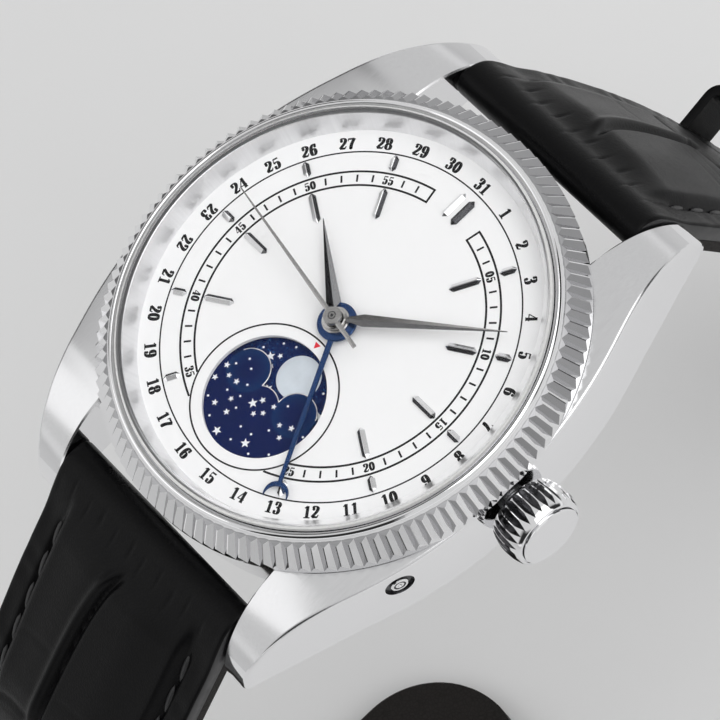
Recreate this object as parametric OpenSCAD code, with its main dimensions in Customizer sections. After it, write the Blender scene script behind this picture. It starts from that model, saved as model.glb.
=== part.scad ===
// Moon phase wristwatch with a fluted bezel, a date hand and a two-piece leather strap.
// Millimetres. +Z points out of the dial, +Y to twelve o'clock, +X to the crown.
// The origin is the centre of the case back's flat outer face.

/* [Case] */
// Diameter across the bezel
bezel_d = 41; // [40.6:0.1:42]
// Number of flutes round the bezel
flute_count = 120; // [90:2:140]
// Depth of one bezel flute
flute_depth = 0.46; // [0.3:0.02:0.5]
// Height of the case middle
middle_h = 6.4; // [6.2:0.1:7]
// Thickness of the case back's flange
back_flange_t = 1; // [0.9:0.05:1.2]
// How far the round body between the lugs lies inside the bezel's edge
drum_inset = 0.7; // [0.5:0.05:0.9]
// How far the flank at the crown stands out past the round body
flank_out = 0.4; // [0.2:0.05:0.8]
// Radius of the case flank in plan
flank_r = 40; // [38:1:46]
// Distance from the centre at which the curved flank turns straight
flank_straight_y = 13.7; // [12:0.5:15]
// Length of a lug past its spring bar
lug_tip_l = 2.5; // [2.2:0.1:3]
// Gap between the two lugs of a pair
lug_gap = 22; // [21:0.5:22.5]
// Radius of the curve along a lug's top
lug_curve_r = 10.8; // [10.4:0.2:12]
// Height of a lug tip's underside above the case back's face
lug_foot = 0.35; // [0.2:0.05:0.8]

/* [Bezel and crystal] */
// Height of the bezel's plain skirt
skirt_h = 1.1; // [0.9:0.1:1.3]
// Height of the fluted cone
flute_h = 1.33; // [1.2:0.05:1.6]
// Radial width of the fluted cone
flute_w = 1.15; // [1:0.05:1.2]
// Radial width of the plain annulus inside the flutes
annulus_w = 0.4; // [0.3:0.05:0.5]
// Width of the half-round polished ring
ring_w = 0.86; // [0.7:0.02:0.9]
// Height of the rehaut above the dial
rehaut_h = 2.1; // [2:0.05:2.3]
// Thickness of the crystal at its edge
crystal_edge_t = 0.45; // [0.4:0.05:0.8]
// Height of the crystal's bevel
crystal_bevel_h = 0.62; // [0.4:0.02:0.8]
// Width of the crystal's bevel
crystal_bevel_w = 0.95; // [0.6:0.05:1.2]
// Rise of the crystal's domed top
crystal_dome_h = 0.25; // [0.15:0.05:0.4]

/* [Dial] */
// Width of the rehaut at its foot
rehaut_w = 1.05; // [0.9:0.05:1.2]
// Thickness of the dial plate
dial_t = 0.4; // [0.3:0.05:0.45]
// Height of the dial's top above the case middle
dial_rise = 0.8; // [0.7:0.05:0.9]
// Distance of the moon window's centre from the dial's centre, as a share of the dial's radius
moon_place_share = 0.485; // [0.47:0.005:0.5]
// Radius of the moon window, as a share of the dial's radius
moon_window_share = 0.308; // [0.28:0.004:0.312]
// Width of an hour marker
marker_w = 0.62; // [0.4:0.02:0.8]
// Height of an hour marker
marker_h = 0.34; // [0.2:0.02:0.4]

/* [Hands] */
// Length of the hour hand, as a share of the dial's radius
hour_hand_share = 0.538; // [0.48:0.01:0.6]
// Length of the minute hand, as a share of the dial's radius
minute_hand_share = 0.852; // [0.77:0.01:0.89]
// Length of the seconds hand, as a share of the dial's radius
seconds_hand_share = 0.864; // [0.77:0.01:0.89]
// Length of the date hand to the middle of its crescent, as a share of the dial's radius
date_hand_share = 0.876; // [0.83:0.01:0.9]
// Width of the hour hand
hour_hand_w = 1.25; // [0.9:0.05:1.5]
// Width of the minute hand
minute_hand_w = 1.05; // [0.8:0.05:1.3]
// Width of the seconds hand at its widest
seconds_hand_w = 0.42; // [0.3:0.02:0.6]
// Outer radius of the date hand's crescent
crescent_r = 1.05; // [0.8:0.05:1.2]
// Thickness of a hand
hand_t = 0.2; // [0.16:0.02:0.22]
// Height between the middles of neighbouring hands
hand_step = 0.42; // [0.38:0.01:0.43]

/* [Crown and corrector] */
// Diameter of the crown
crown_d = 6.7; // [6:0.1:7]
// Length of the crown's knurled body
crown_l = 3.1; // [2.6:0.1:3.4]
// Number of flutes round the crown
crown_flutes = 30; // [20:1:36]
// Height of the crown's axis above the case back
crown_z = 4.2; // [4:0.1:4.4]
// Diameter of the winding stem
stem_d = 1.2; // [1:0.05:1.3]
// Travel of the crown when it is pulled out
crown_pull = 1; // [0.5:0.1:1.2]
// Diameter of the corrector button
corrector_d = 1.5; // [1.2:0.1:1.7]
// Distance of the corrector from the crown's axis
corrector_y = 11; // [10:0.2:12]
// Travel of the corrector button
corrector_travel = 0.5; // [0.3:0.05:0.6]

/* [Movement] */
// Width of the ring that holds the movement in the case
holder_w = 1.85; // [1.6:0.05:2]
// Thickness of a gear wheel
wheel_t = 0.15; // [0.12:0.01:0.18]
// How far the rotor's edge lies inside the main plate's
rotor_inset = 0.75; // [0.6:0.05:1.5]
// Thickness of the rotor's rim weight
rotor_rim_t = 0.95; // [0.7:0.05:1]

/* [Strap] */
// Gap between the strap's side and a lug
strap_side_gap = 0.2; // [0.15:0.05:0.5]
// How much narrower each side of the strap is at the buckle
strap_taper_w = 1.8; // [1:0.1:2.5]
// Length of the buckle half from its spring bar to the buckle bar
strap_12_l = 60; // [56:1:62]
// Thickness of the upper leather with its padding at the lugs
upper_t = 3; // [2.4:0.1:3.2]
// Thickness of the upper leather at the strap's end
upper_end_t = 1.5; // [1.3:0.1:1.8]
// Thickness of the lining
lining_t = 1.1; // [0.8:0.1:1.3]
// Gap between the strap's loop and the case
loop_gap = 0.9; // [0.7:0.1:1.2]
// Height of a spring bar above the case back
bar_z = 2.7; // [2.5:0.1:2.9]
// Diameter of a spring bar
bar_d = 1.5; // [1.3:0.1:1.6]
// Length of the tail that lies flat under the bend
tail_flat_l = 24; // [18:1:27]
// Diameter of a tongue hole
tongue_hole_d = 2; // [1.8:0.1:2.2]

/* [Buckle] */
// Inner length of the buckle frame, from its bar to its front
buckle_l = 11; // [10:0.5:12]
// Thickness of the buckle frame's rod
buckle_rod = 2; // [1.7:0.1:2.2]
// Width of the tongue
tongue_w = 1.8; // [1.4:0.1:2]
// Length of a keeper along the strap
keeper_l = 5; // [4:0.5:6]
// Wall of a keeper
keeper_wall = 1; // [0.8:0.1:1.2]
// Travel of the free keeper
keeper_travel = 8; // [4:1:10]

/* [Hidden] */

// Clearances and the overrun of every cut
cut = 0.1;
run_gap = 0.05;
slip_gap = 0.03;
seat_gap = 0.02;
round_fn = 96;
small_fn = 32;

// Heights of the stack
middle_z = back_flange_t;
middle_top = middle_z + middle_h;
dial_top = middle_top + dial_rise;
dial_z = dial_top - dial_t;
skirt_top = middle_top + skirt_h;
flute_top = skirt_top + flute_h;
annulus_rise = annulus_w * 0.4;
annulus_top = flute_top + annulus_rise;
crystal_z = dial_top + rehaut_h;

// Radii of the stack
bezel_r = bezel_d / 2;
annulus_r = bezel_r - flute_w;
ring_out_r = annulus_r - annulus_w;
ring_in_r = ring_out_r - ring_w;
rehaut_seat = 0.14;
rehaut_out_r = ring_in_r - rehaut_seat;
dial_view_r = rehaut_out_r - rehaut_w;
gasket_w = 0.25;
crystal_r = ring_in_r - gasket_w;
rehaut_top_w = 0.4;
dial_lip = 0.5;
dial_r = dial_view_r + dial_lip;
chamber_r = dial_view_r;
drum_r = bezel_r - drum_inset;
flank_x = drum_r + flank_out;
bar_r = bar_d / 2;
loop_wall = 1.35;
loop_r = bar_r + loop_wall;
bar_y = drum_r + loop_gap + loop_r;
lug_reach = bar_y + lug_tip_l;
strap_w = lug_gap - 2 * strap_side_gap;
strap_end_w = strap_w - 2 * strap_taper_w;

// Dial and hands
moon_y = dial_view_r * moon_place_share;
moon_window_r = dial_view_r * moon_window_share;
moon_r = moon_window_r * 0.365;
moon_orbit_r = moon_window_r * 0.587;
hour_hand_l = dial_view_r * hour_hand_share;
minute_hand_l = dial_view_r * minute_hand_share;
seconds_hand_l = dial_view_r * seconds_hand_share;
date_hand_l = dial_view_r * date_hand_share;

// Case back
back_inset = 1.5;
back_frame_w = 3.3;
back_glass_seat = 0.6;
back_spigot_h = 0.9;
back_bevel = 0.3;
back_r = drum_r - back_inset;
back_open_r = chamber_r - back_frame_w;
back_glass_r = back_open_r + back_glass_seat;
back_glass_t = 1;
back_ring_top = back_flange_t + back_spigot_h;
back_gasket_wall = 0.2;
back_gasket_r = chamber_r + back_gasket_wall;
back_gasket_w = 0.45;
back_notches = 6;
back_notch_w = 2.4;
back_notch_l = 1;
back_notch_h = 0.5;

// Movement levels, from the case back side upwards
plate_r = chamber_r - holder_w;
motion_room = 1.2;
plate_t = 1;
train_room = 1.7;
plate_top = dial_z - motion_room;
plate_z = plate_top - plate_t;
rim_z = plate_z - train_room;
rim_w = 1.45;
bridge_t = 0.9;
bridge_inset = 0.3;
bridge_post_l = 0.35;
post_hole = 0.4;
bridge_z = rim_z - bridge_t;
level_gap = 0.15;
upper_gap = 0.25;
fourth_z = rim_z + run_gap;
third_z = fourth_z + wheel_t + level_gap;
centre_z = third_z + wheel_t + level_gap;
upper_z = centre_z + wheel_t + upper_gap;
barrel_h = 1.25;
balance_t = 0.35;
balance_z = third_z;
hairspring_z = fourth_z;

// Movement plan: the arbors' places are shares of the plate's radius
barrel_at = plate_r * [0.199, 0.346];
barrel_arbor_r = 0.5;
centre_dist = norm(barrel_at);
third_dist = plate_r * 0.306;
third_at = third_dist * [cos(-30), sin(-30)];
escape_dist = plate_r * 0.286;
escape_at = escape_dist * [cos(200), sin(200)];
balance_at = plate_r * [-0.512, -0.359];
balance_r = plate_r * 0.27;
cock_w = balance_r * 0.81;
escape_span = norm(balance_at - escape_at);
escape_r = escape_span * 0.363;
pallet_l = escape_span * 0.354;
pallet_at = escape_at + (balance_at - escape_at) * 0.47;
ratchet_r = plate_r * 0.16;
ratchet_teeth = 24;
barrel_teeth = 72;
centre_pinion_teeth = 12;
centre_teeth = 64;
third_pinion_teeth = 8;
third_teeth = 60;
fourth_pinion_teeth = 8;
fourth_teeth = 72;
escape_pinion_teeth = 6;
cannon_teeth = 12;
minute_teeth = 36;
minute_pinion_teeth = 10;
hour_teeth = 40;
date_teeth = 31;
winding_t = 0.3;
click_r = 0.5;
click_l = 1.6;
click_out = 1.15;
click_pin_r = 0.2;
click_at = barrel_at + [-ratchet_r - click_out, click_l];
pallet_angle = atan2(balance_at[1] - escape_at[1], balance_at[0] - escape_at[0]);
winding_pinion_r = stem_d * 0.95;
winding_teeth = 14;
crown_wheel_r = plate_r * 0.24;
crown_wheel_teeth = 36;
crown_wheel_post_r = 0.4;
mesh_gap = 0.01;
winding_dist = ratchet_r + crown_wheel_r + mesh_gap;
winding_z = bridge_z - run_gap - winding_t;
crown_wheel_at = barrel_at + winding_dist * [cos(-32), sin(-32)];
minute_dist = plate_r * 0.24;
minute_wheel_at = minute_dist * [cos(135), sin(135)];
pivot_r = 0.11;
pinion_t = 0.35;
arbor_r = 0.2;
barrel_r = mesh_r(centre_dist, barrel_teeth, centre_pinion_teeth);
jewel_r = 0.6;
jewel_t = 0.3;
tooth_h = 0.28;
pivot_end = run_gap;
blind_hole = 0.5;
screw_r = 0.55;
screw_slot_w = 0.16;
screw_ring_in = 2.15;
screw_sink = 0.1;
screw_slot_h = 0.2;
bearing_r = 0.8;
bearing_seat = 0.4;
bearing_shoulder_w = 0.5;
bearing_shoulder_h = 0.55;
bearing_cap_w = 0.3;
bearing_cap_t = 0.12;
rotor_web_t = 0.3;
rotor_r = plate_r - rotor_inset;
rotor_gap = 0.2;
screw_angles = [60, 100, 320, 250];

// Concentric pipes at the centre of the dial
pipe_wall = 0.22;
seconds_arbor_r = 0.15;
cannon_in_r = seconds_arbor_r + run_gap;
cannon_r = cannon_in_r + pipe_wall;
hour_pipe_in_r = cannon_r + run_gap;
hour_pipe_r = hour_pipe_in_r + pipe_wall;
date_pipe_in_r = hour_pipe_r + run_gap;
date_pipe_r = date_pipe_in_r + pipe_wall;
dial_hole_r = date_pipe_r + run_gap + slip_gap;
hub_w = 0.35;
motion_z = plate_top + run_gap;
hour_wheel_z = motion_z + wheel_t + run_gap;
date_wheel_z = hour_wheel_z + wheel_t + 2 * run_gap;
moon_depth = 0.5;
moon_disc_z = dial_z - moon_depth;
moon_disc_t = 0.16;
moon_disc_lip = 0.2;
moon_disc_r = moon_window_r + moon_disc_lip;
moon_arbor_r = 0.3;
cover_t = 0.2;
cover_lip = 0.7;
date_wheel_r = moon_y - 3 * moon_window_r / 4;
dial_foot_r = 0.4;
dial_foot_in = 0.9;
dial_foot_angles = [35, 215];

// Levels and resting angles of the hands, clockwise from twelve
date_hand_z = dial_top + hand_step;
hour_hand_z = date_hand_z + hand_step;
minute_hand_z = hour_hand_z + hand_step;
seconds_hand_z = minute_hand_z + hand_step;
hour_angle = 304.4;
minute_angle = 53;
seconds_angle = 279;
date_angle = 151;

// Crown
crown_r = crown_d / 2;
crown_gap = 0.55;
crown_x = flank_x + crown_gap;
crown_end = crown_x + crown_l;
crown_disc_r = crown_r * 0.74;
crown_disc_t = 0.35;
stem_r = stem_d / 2;
stem_room = 0.2;
crown_gasket_w = 0.35;
crown_gasket_l = 0.8;
crown_gasket_in = 2;
tube_wall = 0.3;
tube_in_r = stem_r + crown_gasket_w;
tube_r = tube_in_r + tube_wall;
tube_seat = 0.3;
tube_in_x = chamber_r + tube_seat;
tube_stand = 0.6;
tube_out_x = crown_x + tube_stand;
crown_socket_r = tube_r + 3 * run_gap;
crown_socket_l = 1.2;
winding_pinion_l = 1;
stem_nose = 0.3;
stem_in_x = plate_r - rim_w - crown_pull - winding_pinion_l - stem_nose - 4 * run_gap;

// Corrector
corrector_turn = -asin(corrector_y / flank_r);
corrector_x = flank_x - flank_r * (1 - cos(corrector_turn));
corrector_r = corrector_d / 2;
corrector_z = middle_z + middle_h * 0.66;
corrector_dish_w = 0.45;
corrector_dish_r = corrector_r + corrector_dish_w;
corrector_dish = 0.25;
corrector_l = 3.6;
corrector_foot_w = 0.2;
corrector_foot_r = corrector_r + corrector_foot_w;
corrector_foot_t = 0.5;
corrector_seat = 1.2;
corrector_seat_gap = 0.15;
corrector_gasket_w = 0.1;
corrector_gasket_l = 0.6;

// Strap paths: each step is a length and a turn towards the floor
bar_tip_r = bar_r * 0.65;
bar_tip_l = 1.4;
bar_hole_r = bar_tip_r + run_gap;
bar_hole_l = bar_tip_l + 2 * run_gap;
bar_end_gap = 0.2;
loop_bore_r = bar_r + run_gap;
start_12 = [bar_y, bar_z];
start_12_angle = 62;
turn_12 = 24;
count_12 = 14;
route_12 = [for (i = [1:count_12]) [strap_12_l / count_12, turn_12 / count_12]];
padding_in = 4.5;
padding_end_12 = 16;
padding_end_6 = 60;
padding_cover = 0.9;
padding_margin = 2.6;
padding_room = 1;
taper_drop = 6;
first_hole_drop = 4;
tongue_holes = 6;
tongue_hole_pitch = 6;
tongue_slot_w = tongue_w + 0.8;
tongue_slot_l = 5;

// Buckle
buckle_bar_r = bar_r;
buckle_loop_r = buckle_bar_r + 1;
buckle_side_gap = 0.4;
buckle_w = strap_end_w + 2 * buckle_side_gap;
buckle_side = 1.7;
buckle_bar_end_gap = 0.2;
tongue_t = 0.8;
keeper_gap = 0.3;
keeper_side_gap = 0.25;
tail_gap = 0.9;
keeper_room = upper_end_t + lining_t + tail_gap;
fixed_keeper_back = 11;
fixed_keeper_s = strap_12_l - fixed_keeper_back;
keeper_rest_gap = 1.5;
free_keeper_s = fixed_keeper_s - keeper_l - keeper_travel - keeper_rest_gap;

// Position, heading and running length at every step of a strap's route
function route(start, heading, steps) =
    [for (i = 0, p = start, h = heading, s = 0;
        i <= len(steps);
        turn = i < len(steps) ? steps[i][1] : 0,
        l = i < len(steps) ? steps[i][0] : 0,
        p = p + l * [cos(h + turn / 2), -sin(h + turn / 2)],
        h = h + turn, s = s + l, i = i + 1)
        [p[0], p[1], h, s]];
function arc(r, turn) = r * turn * PI / 180;
function lift(q, t) = [q[0] + t * sin(q[2]), q[1] + t * cos(q[2])];
function upper_at(q, l) = upper_t + (upper_end_t - upper_t) * min(1, q[3] / l);

path_12 = route(start_12, start_12_angle, route_12);
end_12 = path_12[len(path_12) - 1];
start_6 = [bar_y, bar_z];
start_6_angle = 38;
outer_run = 17;
shoulder_r = 18;
shoulder_angle = 90 - start_6_angle;
shoulder_count = 8;
foot_r = 9;
buckle_reach = buckle_l + buckle_rod;
floor_z = end_12[1] - buckle_reach * sin(end_12[2]) - buckle_rod / 2 * cos(end_12[2]);
drop_run = bar_z - outer_run * sin(start_6_angle) - shoulder_r * cos(start_6_angle) - foot_r - lining_t
    - floor_z;
foot_count = 12;
route_6 = concat(
    [[outer_run, 0]],
    [for (i = [1:shoulder_count]) [arc(shoulder_r, shoulder_angle) / shoulder_count,
        shoulder_angle / shoulder_count]],
    [[drop_run, 0]],
    [for (i = [1:foot_count]) [arc(foot_r, 90) / foot_count, 90 / foot_count]],
    [[tail_flat_l, 0]]);
path_6 = route(start_6, start_6_angle, route_6);
end_6 = path_6[len(path_6) - 1];
length_6 = end_6[3];

// A tube, a gear blank with straight-sided teeth, and a wheel with spokes
module tube(ro, ri, h) {
    difference() {
        cylinder(r = ro, h = h, $fn = round_fn);
        translate([0, 0, -cut]) cylinder(r = ri, h = h + 2 * cut, $fn = round_fn);
    }
}

module gear_shape(r, teeth) {
    step = 360 / teeth;
    root = r - min(tooth_h, r * 0.3);
    polygon([for (i = [0:teeth - 1]) for (q = [[root, -0.3], [r, -0.14], [r, 0.14], [root, 0.3]])
        [q[0] * cos((i + q[1]) * step), q[0] * sin((i + q[1]) * step)]]);
}

module pinion(r, teeth, h) {
    linear_extrude(h) gear_shape(r, teeth);
}

module wheel(r, teeth, spokes, bore) {
    rim_r = r - tooth_h - r * 0.12;
    hub_r = max(r * 0.2, bore * 1.5);
    spoke_w = r * 0.13;
    linear_extrude(wheel_t) difference() {
        gear_shape(r, teeth);
        difference() {
            circle(r = rim_r, $fn = round_fn);
            circle(r = hub_r, $fn = small_fn);
            for (i = [0:spokes - 1])
                rotate(i * 360 / spokes) translate([0, -spoke_w / 2]) square([r, spoke_w]);
        }
        circle(r = bore, $fn = small_fn);
    }
}

module post(r, z0, z1) {
    translate([0, 0, z0]) cylinder(r = r, h = z1 - z0, $fn = small_fn);
}

// Extrudes a drawing of the side view, (y, z), across the watch
module across(w) {
    rotate([90, 0, 90]) translate([0, 0, -w / 2]) linear_extrude(w) children();
}

// Outer radius of a gear that turns against another one at a given distance
function mesh_r(dist, teeth, other) = dist * teeth / (teeth + other) - mesh_gap / 2;

// Turns a child to lie along the crown's axis, +Z becoming +X
module on_crown_axis() {
    translate([0, 0, crown_z]) rotate([0, 90, 0]) children();
}

module on_corrector_axis() {
    translate([corrector_x, -corrector_y, corrector_z]) rotate([0, 90, corrector_turn]) children();
}

// Case
lug_curve_l = 9.8;
lug_curve_y = lug_reach - lug_curve_l;
lug_curve_z = middle_top - lug_curve_r;
straight_x = flank_x - flank_r * (1 - cos(asin(flank_straight_y / flank_r)));
tip_x = straight_x - (lug_reach - flank_straight_y) * tan(asin(flank_straight_y / flank_r));

module case_plan() {
    intersection() {
        translate([flank_x - flank_r, 0]) circle(r = flank_r, $fn = round_fn);
        translate([flank_r - flank_x, 0]) circle(r = flank_r, $fn = round_fn);
        square([2 * (flank_x + cut), 2 * flank_straight_y], center = true);
    }
    for (side = [-1, 1])
        polygon([[-straight_x, side * flank_straight_y], [straight_x, side * flank_straight_y],
            [tip_x, side * lug_reach], [-tip_x, side * lug_reach]]);
}

module case_side() {
    for (side = [0, 1]) mirror([side, 0]) {
        intersection() {
            translate([lug_curve_y, lug_curve_z]) circle(r = lug_curve_r, $fn = round_fn);
            polygon([[lug_curve_y, middle_z], [lug_reach, lug_foot], [lug_reach, middle_top],
                [lug_curve_y, middle_top]]);
        }
        polygon([[0, middle_z], [lug_curve_y, middle_z], [lug_curve_y, middle_top], [0, middle_top]]);
    }
}

module case_middle() {
    color("silver") difference() {
        union() {
            difference() {
                intersection() {
                    linear_extrude(middle_top + cut) case_plan();
                    across(2 * (flank_x + cut)) case_side();
                }
                for (side = [-1, 1])
                    translate([-lug_gap / 2, side * lug_reach - lug_reach / 2, 0])
                        cube([lug_gap, lug_reach, middle_top + cut]);
            }
            translate([0, 0, middle_z]) cylinder(r = drum_r, h = middle_h, $fn = round_fn);
        }
        translate([0, 0, -cut]) cylinder(r = chamber_r, h = middle_top + 2 * cut, $fn = round_fn);
        translate([0, 0, middle_z - cut]) difference() {
            cylinder(r = back_gasket_r + back_gasket_w, h = back_gasket_w + cut, $fn = round_fn);
            cylinder(r = back_gasket_r, h = back_gasket_w + cut, $fn = round_fn);
        }
        on_crown_axis() cylinder(r = tube_r, h = crown_x, $fn = small_fn);
        on_corrector_axis() {
            translate([0, 0, -corrector_dish]) cylinder(r = corrector_dish_r, h = crown_l, $fn = small_fn);
            translate([0, 0, -crown_x]) cylinder(r = corrector_r + slip_gap, h = crown_x, $fn = small_fn);
            translate([0, 0, -crown_x])
                cylinder(r = corrector_foot_r + corrector_seat_gap, h = crown_x - corrector_seat,
                    $fn = small_fn);
        }
        for (side = [-1, 1], end = [-1, 1])
            translate([side * (lug_gap / 2 + bar_hole_l / 2), end * bar_y, bar_z]) rotate([0, 90, 0])
                cylinder(r = bar_hole_r, h = bar_hole_l + 2 * seat_gap, center = true, $fn = small_fn);
    }
}

module bezel() {
    slope = atan2(flute_h, flute_w);
    run = flute_h / sin(slope);
    color("gainsboro") difference() {
        rotate_extrude($fn = round_fn) polygon([[rehaut_out_r + seat_gap, middle_top], [bezel_r, middle_top],
            [bezel_r, skirt_top], [annulus_r, flute_top], [ring_out_r, annulus_top],
            [ring_out_r - ring_w * 0.15, annulus_top + ring_w * 0.5],
            [ring_out_r - ring_w * 0.38, annulus_top + ring_w * 0.72],
            [ring_out_r - ring_w * 0.65, annulus_top + ring_w * 0.7],
            [ring_in_r + ring_w * 0.1, annulus_top + ring_w * 0.48], [ring_in_r, crystal_z],
            [rehaut_out_r + seat_gap, crystal_z]]);
        for (i = [0:flute_count - 1])
            rotate([0, 0, i * 360 / flute_count])
                translate([bezel_r - flute_w / 2, 0, skirt_top + flute_h / 2])
                    rotate([0, slope, 0])
                        rotate([45, 0, 0])
                            cube([2 * run, flute_depth * sqrt(2), flute_depth * sqrt(2)], center = true);
    }
}

module crystal() {
    edge_z = crystal_z + crystal_edge_t;
    bevel_r = crystal_r - crystal_bevel_w;
    dome_r = (bevel_r * bevel_r + crystal_dome_h * crystal_dome_h) / (2 * crystal_dome_h);
    dome_z = edge_z + crystal_bevel_h + crystal_dome_h - dome_r;
    dome_count = 8;
    color("lightblue", 0.3) rotate_extrude($fn = round_fn) polygon(concat([[0, crystal_z],
        [crystal_r, crystal_z], [crystal_r, edge_z]],
        [for (i = [0:dome_count]) let (r = bevel_r * (1 - i / dome_count))
            [r, dome_z + sqrt(dome_r * dome_r - r * r)]]));
}

module crystal_gasket() {
    color("white") translate([0, 0, crystal_z])
        tube(ring_in_r - seat_gap, crystal_r + seat_gap, crystal_edge_t - run_gap);
}

module rehaut_ring() {
    color("lightgray") rotate_extrude($fn = round_fn) polygon([[dial_view_r, dial_top],
        [rehaut_out_r, dial_top], [rehaut_out_r, crystal_z], [rehaut_out_r - rehaut_top_w, crystal_z]]);
}

// Dial and its applied pieces
module dial() {
    color("white") difference() {
        union() {
            translate([0, 0, dial_z]) cylinder(r = dial_r, h = dial_t, $fn = round_fn);
            for (a = dial_foot_angles) rotate(a) translate([plate_r - dial_foot_in, 0])
                post(dial_foot_r, plate_top - blind_hole + cut, dial_z);
        }
        post(dial_hole_r, dial_z - cut, dial_top + cut);
        translate([0, -moon_y]) post(moon_window_r, dial_z - cut, dial_top + cut);
    }
}

// A marker is a bar with pointed ends and two sloping sides that meet in a ridge
module marker(r0, r1) {
    w = marker_w / 2;
    rise = marker_h * 0.35;
    polyhedron(
        points = [[0, r0, 0], [w, r0 + w, 0], [w, r1 - w, 0], [0, r1, 0], [-w, r1 - w, 0], [-w, r0 + w, 0],
            [0, r0, rise], [w, r0 + w, rise], [w, r1 - w, rise], [0, r1, rise], [-w, r1 - w, rise],
            [-w, r0 + w, rise], [0, r0 + w, marker_h], [0, r1 - w, marker_h]],
        faces = [[0, 1, 2, 3, 4, 5], [0, 6, 7, 1], [1, 7, 8, 2], [2, 8, 9, 3], [3, 9, 10, 4], [4, 10, 11, 5],
            [5, 11, 6, 0], [6, 12, 7], [7, 12, 13, 8], [8, 13, 9], [9, 13, 10], [10, 13, 12, 11],
            [11, 12, 6]]);
}

module hour_markers() {
    outer_shares = [0.795, 0.882];
    inner_shares = [0.545, 0.707];
    twelve_shares = [0.7, 0.855];
    color("silver") translate([0, 0, dial_top]) {
        for (h = [1, 2, 3, 4, 5, 7, 8, 9, 10, 11])
            rotate(-30 * h) marker(dial_view_r * outer_shares[0], dial_view_r * outer_shares[1]);
        for (h = [1, 2, 3, 4, 8, 9, 10, 11])
            rotate(-30 * h) marker(dial_view_r * inner_shares[0], dial_view_r * inner_shares[1]);
        for (side = [-1, 1]) translate([side * marker_w * 0.85, 0])
            marker(dial_view_r * twelve_shares[0], dial_view_r * twelve_shares[1]);
    }
}

module moon_cover() {
    hump_r = moon_window_r * 0.356;
    hump_x = moon_window_r * 0.558;
    hump_y = moon_window_r * 0.125;
    cover_y = moon_window_r * 0.06;
    color("midnightblue") translate([0, -moon_y, dial_z - cover_t]) linear_extrude(cover_t) difference() {
        circle(r = moon_window_r + cover_lip, $fn = round_fn);
        difference() {
            intersection() {
                circle(r = moon_window_r, $fn = round_fn);
                translate([-moon_window_r, cover_y]) square([2 * moon_window_r, moon_window_r]);
            }
            for (side = [-1, 1]) translate([side * hump_x, hump_y]) circle(r = hump_r, $fn = round_fn);
            translate([0, hump_y]) circle(r = hump_r * 0.42, $fn = small_fn);
        }
    }
}

module moon_disc() {
    color("navy") translate([0, -moon_y]) {
        translate([0, 0, moon_disc_z]) cylinder(r = moon_disc_r, h = moon_disc_t, $fn = round_fn);
        for (a = [79, 259]) rotate(a) translate([moon_orbit_r, 0])
            post(moon_r, moon_disc_z + moon_disc_t / 2, moon_disc_z + moon_disc_t * 1.25);
        post(moon_arbor_r, plate_top - blind_hole + cut, moon_disc_z + moon_disc_t / 2);
    }
}

// Hands: a dauphine hand is a kite with a ridge, on a round hub with its bore
module dauphine(l, w, tail) {
    wide_y = l * 0.16;
    polyhedron(points = [[0, l, 0], [w / 2, wide_y, 0], [0, -tail, 0], [-w / 2, wide_y, 0],
        [0, wide_y, hand_t]], faces = [[0, 3, 2, 1], [0, 1, 4], [1, 2, 4], [2, 3, 4], [3, 0, 4]]);
}

module hand_on_pipe(angle, z, hub_r, bore_r) {
    difference() {
        union() {
            translate([0, 0, z]) rotate(-angle) children();
            post(hub_r, z - hand_t / 2, z + hand_t);
        }
        post(bore_r, z - hand_t / 2 - cut, z + hand_t + cut);
    }
}

module hour_hand() {
    color("dimgray") hand_on_pipe(hour_angle, hour_hand_z, hour_pipe_r + hub_w, hour_pipe_r)
        dauphine(hour_hand_l, hour_hand_w, hour_hand_l * 0.2);
}

module minute_hand() {
    color("dimgray") hand_on_pipe(minute_angle, minute_hand_z, cannon_r + hub_w, cannon_r)
        dauphine(minute_hand_l, minute_hand_w, minute_hand_l * 0.14);
}

module seconds_hand() {
    tail = seconds_hand_l * 0.24;
    color("dimgray") difference() {
        union() {
            translate([0, 0, seconds_hand_z]) rotate(-seconds_angle) linear_extrude(hand_t * 0.7)
                polygon([[-seconds_hand_w * 0.12, seconds_hand_l], [seconds_hand_w * 0.12, seconds_hand_l],
                    [seconds_hand_w / 2, 0], [seconds_hand_w * 0.42, -tail], [-seconds_hand_w * 0.42, -tail],
                    [-seconds_hand_w / 2, 0]]);
            post(cannon_r + hub_w, seconds_hand_z - hand_t / 2, seconds_hand_z + hand_t * 1.2);
        }
        post(seconds_arbor_r, seconds_hand_z - hand_t / 2 - cut, seconds_hand_z + hand_t * 0.8);
    }
}

module date_hand() {
    stem_w = crescent_r * 0.42;
    color("royalblue")
        hand_on_pipe(date_angle, date_hand_z - hand_t / 2, date_pipe_r + 2 * hub_w, date_pipe_r)
        linear_extrude(hand_t) {
            polygon([[-stem_w * 0.8, 0], [stem_w * 0.8, 0], [stem_w / 2, date_hand_l - crescent_r * 0.8],
                [-stem_w / 2, date_hand_l - crescent_r * 0.8]]);
            translate([0, date_hand_l]) difference() {
                circle(r = crescent_r, $fn = small_fn);
                translate([0, crescent_r * 0.34]) circle(r = crescent_r * 0.78, $fn = small_fn);
            }
        }
}

// Motion works under the dial
module date_wheel() {
    color("gold") difference() {
        union() {
            translate([0, 0, date_wheel_z]) pinion(date_wheel_r, date_teeth, wheel_t);
            post(date_pipe_r, date_wheel_z, date_hand_z + hand_t / 2);
        }
        post(date_pipe_in_r, date_wheel_z - cut, date_hand_z + hand_t + cut);
        for (i = [0:5]) rotate(i * 60) translate([date_wheel_r * 0.62, 0])
            post(date_wheel_r * 0.16, date_wheel_z - cut, date_wheel_z + wheel_t + cut);
    }
}

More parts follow.
